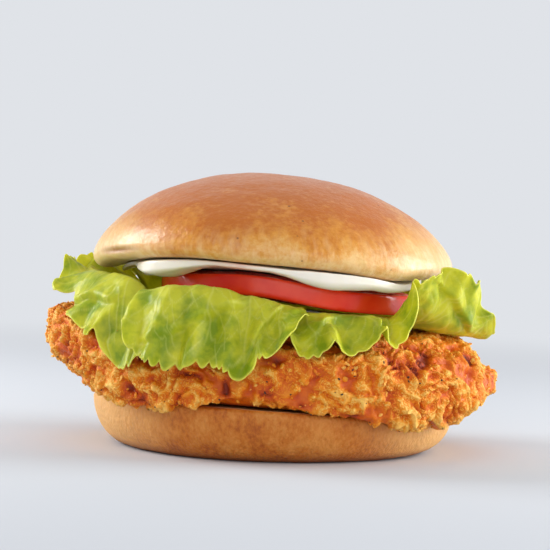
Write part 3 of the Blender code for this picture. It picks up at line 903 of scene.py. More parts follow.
@dataclass(frozen=True)
class BunCrown:
    """The bun's domed top half: a dome, a rounded edge and the cut face, all from one profile."""

    radius: float = 55.3 * MM
    dome: float = 25.7 * MM
    peak: float = 1.58
    lip: float = 3.6 * MM
    cut_inset: float = 4.2 * MM
    hollow: float = 1.6 * MM
    swell: float = 0.9 * MM
    dome_end: float = 0.62
    edge_end: float = 0.78
    pinch_angle: float = 212.0
    pinch_depth: float = 0.7 * MM
    segments: int = 360
    rings: int = 150
    dimple: float = 13 * MM
    dimple_depth: float = 0.8 * MM
    wrinkle: float = 2.4 * MM
    wrinkle_depth: float = 0.2 * MM

    def hollow_at(self, across: float) -> float:
        """Gives how far the filling presses the cut face in at a distance from the axis."""
        return self.hollow * (1 - smooth_step(38 * MM, 49 * MM, across))

    def radius_at(self, angle: float) -> float:
        """Gives the uneven radius in one direction."""
        return self.radius + uneven(angle, 0.8 * MM, 3.1) - 1.4 * MM * near_angle(angle, 5, 55)

    def lip_drop(self, angle: float) -> float:
        """Gives how far the lower edge hangs down in one direction."""
        drop = 2.2 * near_angle(angle, 180, 26) + 2.0 * near_angle(angle, 314, 34)
        return (drop + 1.2 * near_angle(angle, 60, 50) - 1.5 * near_angle(angle, 240, 40)) * MM

    def underside(self, across: float, angle: float) -> float:
        """Gives the height of the cut face and of the edge's lower half over the cut's level."""
        rim = self.radius_at(angle) - self.cut_inset
        if across < rim:
            return self.hollow_at(across) - self.lip_drop(angle) * (1 - smooth_step(0, 0.25, 1 - across / rim))
        outside = min(1.0, (across - rim) / self.cut_inset)
        return self.lip * (1 - math.sqrt(1 - outside**2)) - self.lip_drop(angle)

    def place(self, s: float, angle: float) -> Vector:
        """Places one point of the crown over its cut's level."""
        radius = self.radius_at(angle)
        if s <= self.dome_end:
            turn = s / self.dome_end * math.pi / 2
            across = radius * math.sin(turn)
            height = self.lip + self.dome * max(0.0, math.cos(turn)) ** (2 / self.peak)
            swell = noise.noise(Vector((across * math.cos(angle), across * math.sin(angle), height)) * 32)
            height += swell * self.swell * (1 - smooth_step(0.5, self.dome_end, s))
            height -= self.lip_drop(angle) * math.sin(turn) ** 4
        elif s <= self.edge_end:
            turn = (s - self.dome_end) / (self.edge_end - self.dome_end) * math.pi / 2
            across = radius - self.cut_inset * (1 - math.cos(turn))
            height = self.underside(across, angle)
        else:
            across = (radius - self.cut_inset) * (1 - s) / (1 - self.edge_end)
            height = self.underside(across, angle)
        pinch = near_angle(angle, self.pinch_angle, 15) * math.exp(-(((s - 0.655) / 0.022) ** 2))
        across -= self.pinch_depth * pinch
        return Vector((across * math.cos(angle), across * math.sin(angle), height))

    def build(self, finish: bpy.types.Material, relief: bpy.types.NodeTree) -> bpy.types.Object:
        """Makes the crown and dresses it.

        Args:
            finish: its crust.
            relief: the tree that dimples it.

        Returns:
            The finished piece.
        """
        mesh = turned_mesh("bun_crown_crust", self.place, self.segments, self.rings)
        mesh.transform(CROWN_CUT.matrix())
        s, angles = turned_grid(self.segments, self.rings)
        store(mesh, "crumb", eased(self.edge_end - 0.012, self.edge_end + 0.01, s))
        toast = bump_round(angles, self.pinch_angle, 17) * np.exp(-(((s - 0.655) / 0.03) ** 2))
        store(mesh, "toast", np.clip(0.8 * toast, 0, 1))
        piece = new_piece("bun_crown_crust", mesh)
        grow(
            piece,
            relief,
            {
                "Dimple size": self.dimple,
                "Dimple depth": self.dimple_depth,
                "Wrinkle size": self.wrinkle,
                "Wrinkle depth": self.wrinkle_depth,
                "Finish": finish,
            },
        )
        settle_in(piece, "crown_crust", "bun_crown")
        return piece


@dataclass(frozen=True)
class BunHeel:
    """The bun's flat bottom half: its cut face, a thin lip, a rounded side and the flat base."""

    radius: float = 54.0 * MM
    base_radius: float = 42.3 * MM
    lip: float = 1.6 * MM
    face_end: float = 0.36
    lip_end: float = 0.46
    side_end: float = 11 / 14
    segments: int = 340
    rings: int = 110
    dimple: float = 9 * MM
    dimple_depth: float = 0.5 * MM
    wrinkle: float = 2.0 * MM
    wrinkle_depth: float = 0.16 * MM

    def radius_at(self, angle: float) -> float:
        """Gives the uneven radius in one direction."""
        return self.radius + uneven(angle, 0.7 * MM, 7.7) + 2.4 * MM * near_angle(angle, 355, 50)

    def place(self, s: float, angle: float) -> Vector:
        """Places one point of the heel."""
        radius = self.radius_at(angle)
        base = self.base_radius + uneven(angle, 1.0 * MM, 5.2)
        down = 0.0
        if s <= self.face_end:
            across = (radius - self.lip) * s / self.face_end
        elif s <= self.lip_end:
            turn = (s - self.face_end) / (self.lip_end - self.face_end) * math.pi / 2
            across = radius - self.lip * (1 - math.sin(turn))
            down = self.lip * (1 - math.cos(turn))
        elif s <= self.side_end:
            turn = (s - self.lip_end) / (self.side_end - self.lip_end) * math.pi / 2
            across = base + (radius - base) * max(0.0, math.cos(turn)) ** 0.85
            down = self.lip
        else:
            across = base * (1 - s) / (1 - self.side_end)
        x, y = across * math.cos(angle), across * math.sin(angle)
        top = HEEL_CUT.z(x, y) - down
        if s <= self.lip_end:
            return Vector((x, y, top))
        if s < self.side_end - 1e-6:
            return Vector((x, y, top * (1 - math.sin(turn) ** 1.15)))
        return Vector((x, y, 0))

    def build(self, finish: bpy.types.Material, relief: bpy.types.NodeTree) -> bpy.types.Object:
        """Makes the heel and dresses it.

        Args:
            finish: its crust.
            relief: the tree that dimples it.

        Returns:
            The finished piece.
        """
        mesh = turned_mesh("bun_heel_crust", self.place, self.segments, self.rings)
        s, _angles = turned_grid(self.segments, self.rings)
        store(mesh, "crumb", 1 - eased(self.face_end, self.face_end + 0.03, s))
        piece = new_piece("bun_heel_crust", mesh)
        grow(
            piece,
            relief,
            {
                "Dimple size": self.dimple,
                "Dimple depth": self.dimple_depth,
                "Wrinkle size": self.wrinkle,
                "Wrinkle depth": self.wrinkle_depth,
                "Finish": finish,
            },
        )
        points = points_of(piece.data)
        points[:, 2] = np.maximum(points[:, 2], 0)
        piece.data.vertices.foreach_set("co", points.ravel())
        piece.data.update()
        settle_in(piece, "heel_crust", "bun_heel")
        return piece


# ---- fried fillet ----


def crag_relief() -> bpy.types.NodeTree:
    """Builds the tree that turns a smooth slab into a craggy crust and keeps how high each point stands as "ridge".

    Two patterns of thin overlapping layers follow a warped noise like contour lines: each layer rises slowly and
    ends in a steep edge. They lie on soft folds and under a fine grain.

    Returns:
        The tree, with the size and height of its folds, layers, flakes and grain as inputs.
    """
    sizes = (
        "Warp size", "Warp reach", "Fold size", "Fold height", "Layer size", "Layer height",
        "Flake size", "Flake height", "Grain size", "Grain height", "Sink",
    )
    tree, start, end = start_growth("crag_relief", sizes)
    place = add_node(tree, "GeometryNodeInputPosition").outputs[0]

    def calculate(operation: str, *values: object) -> bpy.types.NodeSocket:
        """Adds one step of arithmetic and gives its result."""
        return add_node(tree, "ShaderNodeMath", dict(enumerate(values)), operation=operation).outputs[0]

    def cloud(vector: bpy.types.NodeSocket, size: str, detail: float) -> bpy.types.Node:
        """Adds a noise whose blobs have one of the tree's sizes."""
        scale = calculate("DIVIDE", 1.0, start.outputs[size])
        return add_node(tree, "ShaderNodeTexNoise", {"Vector": vector, "Scale": scale, "Detail": detail})

    swirl = add_node(
        tree,
        "ShaderNodeVectorMath",
        {0: cloud(place, "Warp size", 2.0).outputs[1], 1: (0.5, 0.5, 0.5)},
        operation="SUBTRACT",
    )
    swirl = add_node(
        tree, "ShaderNodeVectorMath", {0: swirl.outputs[0], "Scale": start.outputs["Warp reach"]}, operation="SCALE"
    )
    warped = add_node(tree, "ShaderNodeVectorMath", {0: place, 1: swirl.outputs[0]}, operation="ADD").outputs[0]
    fold = calculate("ABSOLUTE", calculate("SUBTRACT", cloud(warped, "Fold size", 1.5).outputs[0], 0.5))
    fold = calculate("MAXIMUM", calculate("MULTIPLY_ADD", fold, -5.0, 1.0), 0.0)
    total = calculate("MULTIPLY", fold, start.outputs["Fold height"])
    # Where this is high the crust flakes most; where it is low it stays smooth and oily.
    flaky = calculate("MULTIPLY_ADD", cloud(warped, "Warp size", 1.0).outputs[0], 6.5, -2.5)
    reach = add_node(tree, "ShaderNodeSeparateXYZ", {0: place}).outputs["X"]
    flaky = calculate("MULTIPLY_ADD", calculate("ABSOLUTE", reach), 7.0, flaky)
    flaky = calculate("MINIMUM", calculate("MAXIMUM", flaky, 0.12), 1.0)
    for kind, steps in (("Layer", 9.0), ("Flake", 5.0)):
        run = calculate("FRACT", calculate("MULTIPLY", cloud(warped, f"{kind} size", 1.0).outputs[0], steps))
        edge = calculate("MINIMUM", calculate("DIVIDE", run, 0.7), calculate("MULTIPLY_ADD", run, -3.33, 3.33))
        height = calculate("MULTIPLY", edge, start.outputs[f"{kind} height"])
        total = calculate("MULTIPLY_ADD", height, flaky, total)
    grain = calculate("MULTIPLY", cloud(place, "Grain size", 2.5).outputs[0], start.outputs["Grain height"])
    total = calculate("ADD", total, grain)
    masked = add_node(
        tree,
        "GeometryNodeStoreNamedAttribute",
        {"Geometry": start.outputs["Geometry"], "Name": "flaky", "Value": flaky},
        data_type="FLOAT",
        domain="POINT",
    )
    full = calculate("ADD", start.outputs["Fold height"], start.outputs["Layer height"])
    full = calculate("ADD", full, calculate("ADD", start.outputs["Flake height"], start.outputs["Grain height"]))
    kept = add_node(
        tree,
        "GeometryNodeStoreNamedAttribute",
        {"Geometry": masked.outputs[0], "Name": "ridge", "Value": calculate("DIVIDE", total, full)},
        data_type="FLOAT",
        domain="POINT",
    )
    calm = add_node(tree, "GeometryNodeInputNamedAttribute", {"Name": "calm"}, data_type="FLOAT")
    lively = calculate("SUBTRACT", 1.0, calm.outputs[0])
    raised = calculate("MULTIPLY", calculate("SUBTRACT", total, start.outputs["Sink"]), lively)
    outward = add_node(
        tree,
        "ShaderNodeVectorMath",
        {0: add_node(tree, "GeometryNodeInputNormal").outputs[0], "Scale": raised},
        operation="SCALE",
    )
    moved = add_node(tree, "GeometryNodeSetPosition", {"Geometry": kept.outputs[0], "Offset": outward.outputs[0]})
    real = add_node(tree, "GeometryNodeRealizeInstances", {"Geometry": moved.outputs[0]})
    done = add_node(
        tree, "GeometryNodeSetMaterial", {"Geometry": real.outputs[0], "Material": start.outputs["Finish"]}
    )
    tree.links.new(done.outputs[0], end.inputs["Geometry"])
    return tree


def scattering() -> bpy.types.NodeTree:
    """Builds the tree that strews small uneven bits over the lively part of a crust.

    Returns:
        The tree, with the bits' number, least and greatest size, flatness, tilt and lumpiness as inputs.
    """
    sizes = ("Per area", "Least", "Greatest", "Flatness", "Tilt", "Lump size", "Lump height", "Faces", "Seed", "Shade")
    tree, start, end = start_growth("scattering", sizes)
    covered = add_node(tree, "GeometryNodeInputNamedAttribute", {"Name": "covered"}, data_type="FLOAT")
    lively = add_node(tree, "ShaderNodeMath", {0: covered.outputs[0], 1: 0.3}, operation="LESS_THAN")
    seed = add_node(tree, "FunctionNodeFloatToInt", {0: start.outputs["Seed"]}).outputs[0]
    spots = add_node(
        tree,
        "GeometryNodeDistributePointsOnFaces",
        {
            "Mesh": start.outputs["Geometry"],
            "Selection": lively.outputs[0],
            "Density": start.outputs["Per area"],
            "Seed": seed,
        },
        distribute_method="RANDOM",
    )
    bit = add_node(
        tree,
        "GeometryNodeMeshIcoSphere",
        {"Radius": 1.0, "Subdivisions": add_node(tree, "FunctionNodeFloatToInt", {0: start.outputs["Faces"]}).outputs[0]},
    )
    size = add_node(
        tree,
        "FunctionNodeRandomValue",
        {2: start.outputs["Least"], 3: start.outputs["Greatest"], "Seed": seed},
        data_type="FLOAT",
    )
    shape = add_node(
        tree,
        "FunctionNodeRandomValue",
        {0: (0.7, 0.45, 0.7), 1: (1.3, 0.9, 1.2), "Seed": 11},
        data_type="FLOAT_VECTOR",
    )
    flat = add_node(tree, "ShaderNodeCombineXYZ", {0: 1.0, 1: 1.0, 2: start.outputs["Flatness"]})
    shape = add_node(
        tree, "ShaderNodeVectorMath", {0: shape.outputs[0], 1: flat.outputs[0]}, operation="MULTIPLY"
    )
    shape = add_node(
        tree, "ShaderNodeVectorMath", {0: shape.outputs[0], "Scale": size.outputs[1]}, operation="SCALE"
    )
    least = add_node(
        tree, "ShaderNodeVectorMath", {0: (-1, -1, 0), "Scale": start.outputs["Tilt"]}, operation="SCALE"
    )
    most = add_node(
        tree, "ShaderNodeVectorMath", {0: (1, 1, 0), "Scale": start.outputs["Tilt"]}, operation="SCALE"
    )
    most = add_node(tree, "ShaderNodeVectorMath", {0: most.outputs[0], 1: (0, 0, 6.28)}, operation="ADD")
    lean = add_node(
        tree,
        "FunctionNodeRandomValue",
        {0: least.outputs[0], 1: most.outputs[0], "Seed": 23},
        data_type="FLOAT_VECTOR",
    )
    lean = add_node(tree, "FunctionNodeEulerToRotation", {0: lean.outputs[0]})
    turn = add_node(
        tree,
        "FunctionNodeRotateRotation",
        {0: spots.outputs["Rotation"], 1: lean.outputs[0]},
        rotation_space="LOCAL",
    )
    strewn = add_node(
        tree,
        "GeometryNodeInstanceOnPoints",
        {
            "Points": spots.outputs["Points"],
            "Instance": bit.outputs[0],
            "Rotation": turn.outputs[0],
            "Scale": shape.outputs[0],
        },
    )
    shade = add_node(
        tree,
        "FunctionNodeRandomValue",
        {2: 0.0, 3: 0.3, "Seed": 31},
        data_type="FLOAT",
    )
    shade = add_node(
        tree, "ShaderNodeMath", {0: start.outputs["Shade"], 1: shade.outputs[1]}, operation="ADD"
    )
    kept = add_node(
        tree,
        "GeometryNodeStoreNamedAttribute",
        {"Geometry": strewn.outputs[0], "Name": "ridge", "Value": shade.outputs[0]},
        data_type="FLOAT",
        domain="INSTANCE",
    )
    real = add_node(tree, "GeometryNodeRealizeInstances", {"Geometry": kept.outputs[0]})
    density = add_node(tree, "ShaderNodeMath", {0: 1.0, 1: start.outputs["Lump size"]}, operation="DIVIDE")
    lumps = add_node(
        tree,
        "ShaderNodeTexNoise",
        {"Vector": add_node(tree, "GeometryNodeInputPosition").outputs[0], "Scale": density.outputs[0], "Detail": 1.0},
    )
    lumps = add_node(
        tree, "ShaderNodeVectorMath", {0: lumps.outputs[1], 1: (0.5, 0.5, 0.5)}, operation="SUBTRACT"
    )
    lumps = add_node(
        tree, "ShaderNodeVectorMath", {0: lumps.outputs[0], "Scale": start.outputs["Lump height"]}, operation="SCALE"
    )
    moved = add_node(
        tree, "GeometryNodeSetPosition", {"Geometry": real.outputs[0], "Offset": lumps.outputs[0]}
    )
    done = add_node(
        tree, "GeometryNodeSetMaterial", {"Geometry": moved.outputs[0], "Material": start.outputs["Finish"]}
    )
    tree.links.new(done.outputs[0], end.inputs["Geometry"])
    return tree


@dataclass(frozen=True)
class Strewn:
    """One kind of small bits on a crust: their number for each square metre and their sizes."""

    name: str
    per_area: float
    least: float
    greatest: float
    flatness: float
    tilt: float
    lump_size: float
    lump_height: float
    faces: int
    seed: int
    shade: float

    def build(
        self, ground: bpy.types.Object, tree: bpy.types.NodeTree, finish: bpy.types.Material, slot: str
    ) -> bpy.types.Object:
        """Strews the bits over a piece.

        Args:
            ground: the piece that carries them.
            tree: the tree that strews.
            finish: what they are made of.
            slot: the record's material slot for them, which is not used.

        Returns:
            The bits as one piece.
        """
        piece = new_piece(self.name, ground.data.copy())
        grow(
            piece,
            tree,
            {
                "Per area": self.per_area,
                "Least": self.least,
                "Greatest": self.greatest,
                "Flatness": self.flatness,
                "Tilt": self.tilt,
                "Lump size": self.lump_size,
                "Lump height": self.lump_height,
                "Faces": float(self.faces),
                "Seed": float(self.seed),
                "Shade": self.shade,
                "Finish": finish,
            },
        )
        piece.data.shade_smooth()
        settle_in(piece, slot)
        return piece


@dataclass(frozen=True)
class FriedFillet:
    """The fried chicken fillet: a thick slab, its two ends curling up, under a craggy crust."""

    half_length: float = 67.9 * MM
    half_depth: float = 55.5 * MM
    shift: float = 1.7 * MM
    squareness: float = 2.1
    top_rounding: float = 3.2
    end_rounding: float = 5.7
    bottom_rounding: float = 8.0
    swell: float = 2.4 * MM
    shelf: float = 41.0 * MM
    gap: float = 0.35 * MM
    segments: int = 300
    rings: int = 150
    voxel: float = 0.5 * MM
    kept_share: float = 0.6

    def outline(self, angle: float) -> float:
        """Gives the radius in one direction: a squarish oval with an uneven edge."""
        across = abs(math.cos(angle) / self.half_length) ** self.squareness
        along = abs(math.sin(angle) / self.half_depth) ** self.squareness
        return (across + along) ** (-1 / self.squareness) + uneven(angle, 1.6 * MM, 1.9)

    def top(self, x: float, y: float) -> float:
        """Gives the height of the top, which swells in the middle and falls away at the right end."""
        away = min(1.0, math.hypot(x / self.half_length, y / self.half_depth))
        fall = 8.5 * MM * smooth_step(57.5 * MM, 66.5 * MM, x)
        return FILLET_TOP.z(x, y) + self.swell * (1 - away**2) - fall

    def place(self, s: float, angle: float, heel: BunHeel) -> Vector:
        """Places one point of the fillet on the heel."""
        turn = s * math.pi
        ends = near_angle(angle, 0, 40) + near_angle(angle, 180, 40)
        top_rounding = self.top_rounding + (self.end_rounding - self.top_rounding) * ends
        rounding = top_rounding if s < 0.5 else self.bottom_rounding
        across = self.outline(angle) * max(0.0, math.sin(turn)) ** (2 / rounding)
        upward = math.copysign(abs(math.cos(turn)) ** (2 / rounding), math.cos(turn))
        x, y = across * math.cos(angle) + self.shift, across * math.sin(angle)
        rim = heel.radius_at(math.atan2(y, x))
        overhang = smooth_step(rim, rim + 3.5 * MM, math.hypot(x, y))
        droop = 3.6 + 1.3 * near_angle(angle, 240, 25) - 1.0 * near_angle(angle, 264, 20)
        droop -= 0.8 * near_angle(angle, 0, 40) + 2.4 * near_angle(angle, 203, 26)
        curl = 12.5 * smooth_step(48 * MM, 68 * MM, -x) + 11.0 * smooth_step(50 * MM, 70 * MM, x)
        bottom = HEEL_CUT.z(x, y) + self.gap + (curl - droop * overhang) * MM
        top = self.top(x, y)
        point = Vector((x, y, (top + bottom) / 2 + (top - bottom) / 2 * upward))
        outward = Vector((x * 0.6, y * 0.6, (top - bottom) * upward * 1.1)).normalized()
        lumps = noise.fractal(point * 70, 0.9, 2.1, 3) * 1.3 * MM
        crags = abs(noise.noise(point * 150)) * 1.2 * MM
        resting = smooth_step(0.55, 0.7, s) * (1 - smooth_step(0.9, 1.02, math.hypot(x, y) / rim))
        pressed = (1 - smooth_step(0.25, 0.42, s)) * (1 - smooth_step(0.8, 1.0, across / self.shelf))
        return point + outward * (lumps + crags - 0.9 * MM) * (1 - max(resting, pressed))

    def build(self, finish: bpy.types.Material, heel: BunHeel) -> bpy.types.Object:
        """Makes the fillet and its crust.

        Args:
            finish: the crust.
            heel: the bun's heel, which carries it.

        Returns:
            The finished piece.
        """
        mesh = turned_mesh(
            "chicken_fillet_crust", lambda s, angle: self.place(s, angle, heel), self.segments, self.rings
        )
        piece = new_piece("chicken_fillet_crust", mesh)
        evening = piece.modifiers.new("even_faces", "REMESH")
        evening.mode = "VOXEL"
        evening.voxel_size = self.voxel
        make_real(piece)
        piece.data.shade_smooth()
        points = points_of(piece.data)
        across = np.hypot(points[:, 0], points[:, 1])
        rest = HEEL_CUT.height + HEEL_CUT.slope_x * points[:, 0] + HEEL_CUT.slope_y * points[:, 1]
        top = FILLET_TOP.height + FILLET_TOP.slope_x * points[:, 0] + FILLET_TOP.slope_y * points[:, 1]
        resting = (1 - eased(1.0 * MM, 3.0 * MM, points[:, 2] - rest)) * (
            1 - eased(heel.radius - 3 * MM, heel.radius, across)
        )
        pressed = eased(-4 * MM, -1 * MM, points[:, 2] - top) * (1 - eased(self.shelf, self.shelf + 8 * MM, across))
        calm = np.maximum(resting, pressed)
        hidden = piece.vertex_groups.new(name="hidden")
        hidden.add([int(index) for index in np.flatnonzero(calm > 0.95)], 1.0, "REPLACE")
        thinning = piece.modifiers.new("thin_hidden_faces", "DECIMATE")
        thinning.vertex_group = hidden.name
        thinning.ratio = self.kept_share
        store(piece.data, "calm", calm)
        make_real(piece)
        grow(
            piece,
            crag_relief(),
            {
                "Warp size": 9 * MM,
                "Warp reach": 7 * MM,
                "Fold size": 8 * MM,
                "Fold height": 1.3 * MM,
                "Layer size": 15 * MM,
                "Layer height": 1.5 * MM,
                "Flake size": 6 * MM,
                "Flake height": 0.8 * MM,
                "Grain size": 1.5 * MM,
                "Grain height": 0.45 * MM,
                "Sink": 1.6 * MM,
                "Finish": finish,
            },
        )
        settle_in(piece, "fried_crust", "chicken_fillet")
        return piece


def cover(mesh: bpy.types.Mesh, sheets: Sequence[BVHTree], distance: float) -> None:
    """Marks, as "covered", the points of a crust that rest on something or lie close under a leaf.

    Args:
        mesh: the crust's mesh, which has its "calm" share.
        sheets: the leaves' search trees.
        distance: how near a leaf has to be.
    """
    calm = np.zeros(len(mesh.vertices), np.float32)
    mesh.attributes["calm"].data.foreach_get("value", calm)
    for vertex in mesh.vertices:
        if calm[vertex.index] < 0.3 and any(sheet.find_nearest(vertex.co, distance)[0] for sheet in sheets):
            calm[vertex.index] = 1.0
    store(mesh, "covered", calm)


CRUST_BITS = (
    Strewn("crust_flakes", 28000, 0.5 * MM, 1.3 * MM, 0.3, 0.9, 1.6 * MM, 1.1 * MM, 2, 3, 0.55),
    Strewn("crust_crumbs", 60000, 0.25 * MM, 0.55 * MM, 0.8, 0.5, 0.8 * MM, 0.35 * MM, 1, 5, 0.5),
)
PEPPER_BITS = Strewn("pepper_specks", 14000, 0.22 * MM, 0.5 * MM, 0.6, 0.4, 0.6 * MM, 0.25 * MM, 1, 8, 0.0)


# ---- tomato and mayonnaise ----


@dataclass(frozen=True)
class TomatoSlice:
    """A thick slice of tomato, bent up a little where the filling lifts it at the front."""

    radius: float = 38.2 * MM
    thickness: float = 7.2 * MM
    centre: tuple[float, float] = (4.7 * MM, -7.0 * MM)
    bulge: float = 0.7 * MM
    bevel: float = 1.2 * MM
    arch: float = 2.0 * MM
    face_end: float = 0.36
    segments: int = 260
    rings: int = 120

    def arch_at(self, x: float, y: float) -> float:
        """Gives how far the slice, measured from its own middle, bends up."""
        return self.arch * near_angle(math.atan2(y, x), 255, 44) * (math.hypot(x, y) / self.radius) ** 2

    def place(self, s: float, angle: float) -> Vector:
        """Places one point of the slice, measured from the middle of its top face."""
        radius = self.radius + uneven(angle, 0.9 * MM, 8.4)
        if self.face_end < s < 1 - self.face_end:
            turn = (s - self.face_end) / (1 - 2 * self.face_end) * math.pi
            across = radius - self.bulge * (1 - math.sin(turn))
            upward = math.copysign(abs(math.cos(turn)) ** 0.35, math.cos(turn))
            wet = 0.0
        else:
            across = (radius - self.bulge) * min(s, 1 - s) / self.face_end
            upward = 1.0 if s < 0.5 else -1.0
            wet = 0.25 * MM * noise.noise(Vector((across * math.cos(angle), across * math.sin(angle), 0.1)) * 260)
        x, y = across * math.cos(angle), across * math.sin(angle)
        fall = self.bevel * smooth_step(0.85, 1.0, across / (radius - self.bulge)) * (1 + upward) / 2
        return Vector((x, y, self.thickness / 2 * (upward - 1) + self.arch_at(x, y) + wet - fall))

    def build(self, finish: bpy.types.Material) -> bpy.types.Object:
        """Makes the slice and dresses it.

        Args:
            finish: its skin and flesh.

        Returns:
            The finished piece.
        """
        mesh = turned_mesh("tomato_slice_cut", self.place, self.segments, self.rings)
        mesh.transform(TOMATO_TOP.matrix(*self.centre))
        s, _angles = turned_grid(self.segments, self.rings)
        nearer = np.minimum(s, 1 - s)
        store(mesh, "skin", eased(self.face_end, self.face_end + 0.012, nearer))
        # The painted highlight runs along the skin's cut edge.
        store(mesh, "cut", np.exp(-(((nearer - self.face_end - 0.004) / 0.006) ** 2)))
        mesh.materials.append(finish)
        piece = new_piece("tomato_slice_cut", mesh)
        settle_in(piece, "tomato", "tomato_slice")
        return piece


@dataclass(frozen=True)
class Mayonnaise:
    """Mayonnaise between the crown and the tomato, squeezed out in drooping lobes."""

    radius: float = 46.0 * MM
    gap: float = 0.15 * MM
    segments: int = 320
    rings: int = 90
    ripple: float = 7 * MM
    ripple_depth: float = 0.5 * MM
    fine: float = 2.4 * MM
    fine_depth: float = 0.08 * MM

    def place(self, s: float, angle: float, crown: BunCrown, tomato: TomatoSlice) -> Vector:
        """Places one point of the mayonnaise between the crown and the slice."""
        left = near_angle(angle, 227, 24)
        middle = near_angle(angle, 287, 20)
        right = near_angle(angle, 312, 36)
        back = near_angle(angle, 80, 40)
        front = near_angle(angle, 282, 78)
        spread = 5.4 * left + 5.9 * front + 0.6 * middle + 3.2 * right + 2.5 * back
        turn = s * math.pi
        across = (self.radius + spread * MM + uneven(angle, 0.6 * MM, 4.4)) * max(0.0, math.sin(turn)) ** 0.36
        x, y = across * math.cos(angle), across * math.sin(angle)
        top = CROWN_CUT.z(x, y) + crown.underside(across, angle) - self.gap
        droop = 2.0 + 3.6 * left + 3.4 * middle + 2.0 * right + 1.0 * back
        from_x, from_y = x - tomato.centre[0], y - tomato.centre[1]
        slice_top = TOMATO_TOP.z(x, y) + tomato.arch_at(from_x, from_y)
        pressed = min(top - 0.7 * MM, slice_top + 3 * self.gap)
        away = math.hypot(from_x, from_y)
        share = 1 - smooth_step(tomato.radius + 0.8 * MM, tomato.radius + 4 * MM, away)
        bottom = (top - droop * MM) * (1 - share) + pressed * share
        upward = math.copysign(abs(math.cos(turn)) ** 0.34, math.cos(turn))
        return Vector((x, y, (top + bottom) / 2 + (top - bottom) / 2 * upward))

    def build(
        self, finish: bpy.types.Material, relief: bpy.types.NodeTree, crown: BunCrown, tomato: TomatoSlice
    ) -> bpy.types.Object:
        """Makes the mayonnaise and dresses it.

        Args:
            finish: the mayonnaise.
            relief: the tree that ripples it.
            crown: the bun's crown over it.
            tomato: the slice under it.

        Returns:
            The finished piece.
        """
        mesh = turned_mesh(
            "mayonnaise_spread",
            lambda s, angle: self.place(s, angle, crown, tomato),
            self.segments,
            self.rings,
        )
        _s, angles = turned_grid(self.segments, self.rings)
        store(mesh, "stain", bump_round(angles, 256, 16))
        piece = new_piece("mayonnaise_spread", mesh)
        grow(
            piece,
            relief,
            {
                "Dimple size": self.ripple,
                "Dimple depth": self.ripple_depth,
                "Wrinkle size": self.fine,
                "Wrinkle depth": self.fine_depth,
                "Finish": finish,
            },
        )
        settle_in(piece, "mayonnaise", "mayonnaise")
        return piece


# ---- lettuce ----


@dataclass(frozen=True)
class Rib:
    """A radial section of a leaf, in degrees and mm: its crest on the stack and its free edge, each a radius and a height."""

    angle: float
    crest: tuple[float, float]
    edge: tuple[float, float]
    ruffle: float = 2.0
    tuck: float = 0.0


@dataclass(frozen=True)
class Vein:
    """A main vein of a leaf: where it starts, how far it leans round the stack on its way out, and its half width in mm."""

    start: float
    lean: float
    width: float


@dataclass(frozen=True)
class Fold:
    """A crease in a leaf, from one place to another on it: beyond it the leaf lies deeper by some mm."""

    start: tuple[float, float]
    end: tuple[float, float]
    depth: float
    fade: float = 7.0


@dataclass(frozen=True)
class Notch:
    """A gap between two lobes of a leaf's free edge: where it is, how deep and how wide it is, as shares of the leaf."""

    place: float
    depth: float
    width: float


def nearest_clear(point: Vector, tree: BVHTree, distance: float) -> Vector:
    """Moves a point out of a closed surface until it is far enough from it.

    Args:
        point: the point.
        tree: the surface's search tree.
        distance: how far the point has to be from it.

    Returns:
        The point where it may be.
    """
    hit, normal, _face, length = tree.find_nearest(point)
    away = point - hit
    if away.dot(normal) < 0 and encloses(tree, point):
        return hit - away.normalized() * distance if length > 0.001 * MM else hit + normal * distance
    if length < distance:
        return hit + (away.normalized() if length > 0.001 * MM else normal) * distance
    return point


def encloses(tree: BVHTree, point: Vector) -> bool:
    """Tells whether a closed surface encloses a point, from how often a ray from it crosses the surface."""
    direction = Vector((0.48, 0.31, 0.82)).normalized()
    crossings = 0
    start = point.copy()
    while True:
        hit, _normal, _face, _length = tree.ray_cast(start, direction)
        if hit is None:
            return crossings % 2 == 1
        crossings += 1
        start = hit + direction * 1e-6


def over_sheet(point: Vector, sheet: BVHTree, distance: float) -> Vector:
    """Moves a point to the outer side of an open sheet wherever it lies behind it or too near.

    Args:
        point: the point.
        sheet: the sheet's search tree.
        distance: how far the point has to be from it.

    Returns:
        The point where it may be.
    """
    hit, normal, _face, length = sheet.find_nearest(point)
    away = point - hit
    depth = away.dot(normal)
    beside = (away - normal * depth).length
    if beside < 0.6 * MM and -9 * MM < depth < distance:
        return hit + normal * distance
    if length < distance:
        return hit + (away + normal * 1e-6).normalized() * distance
    return point


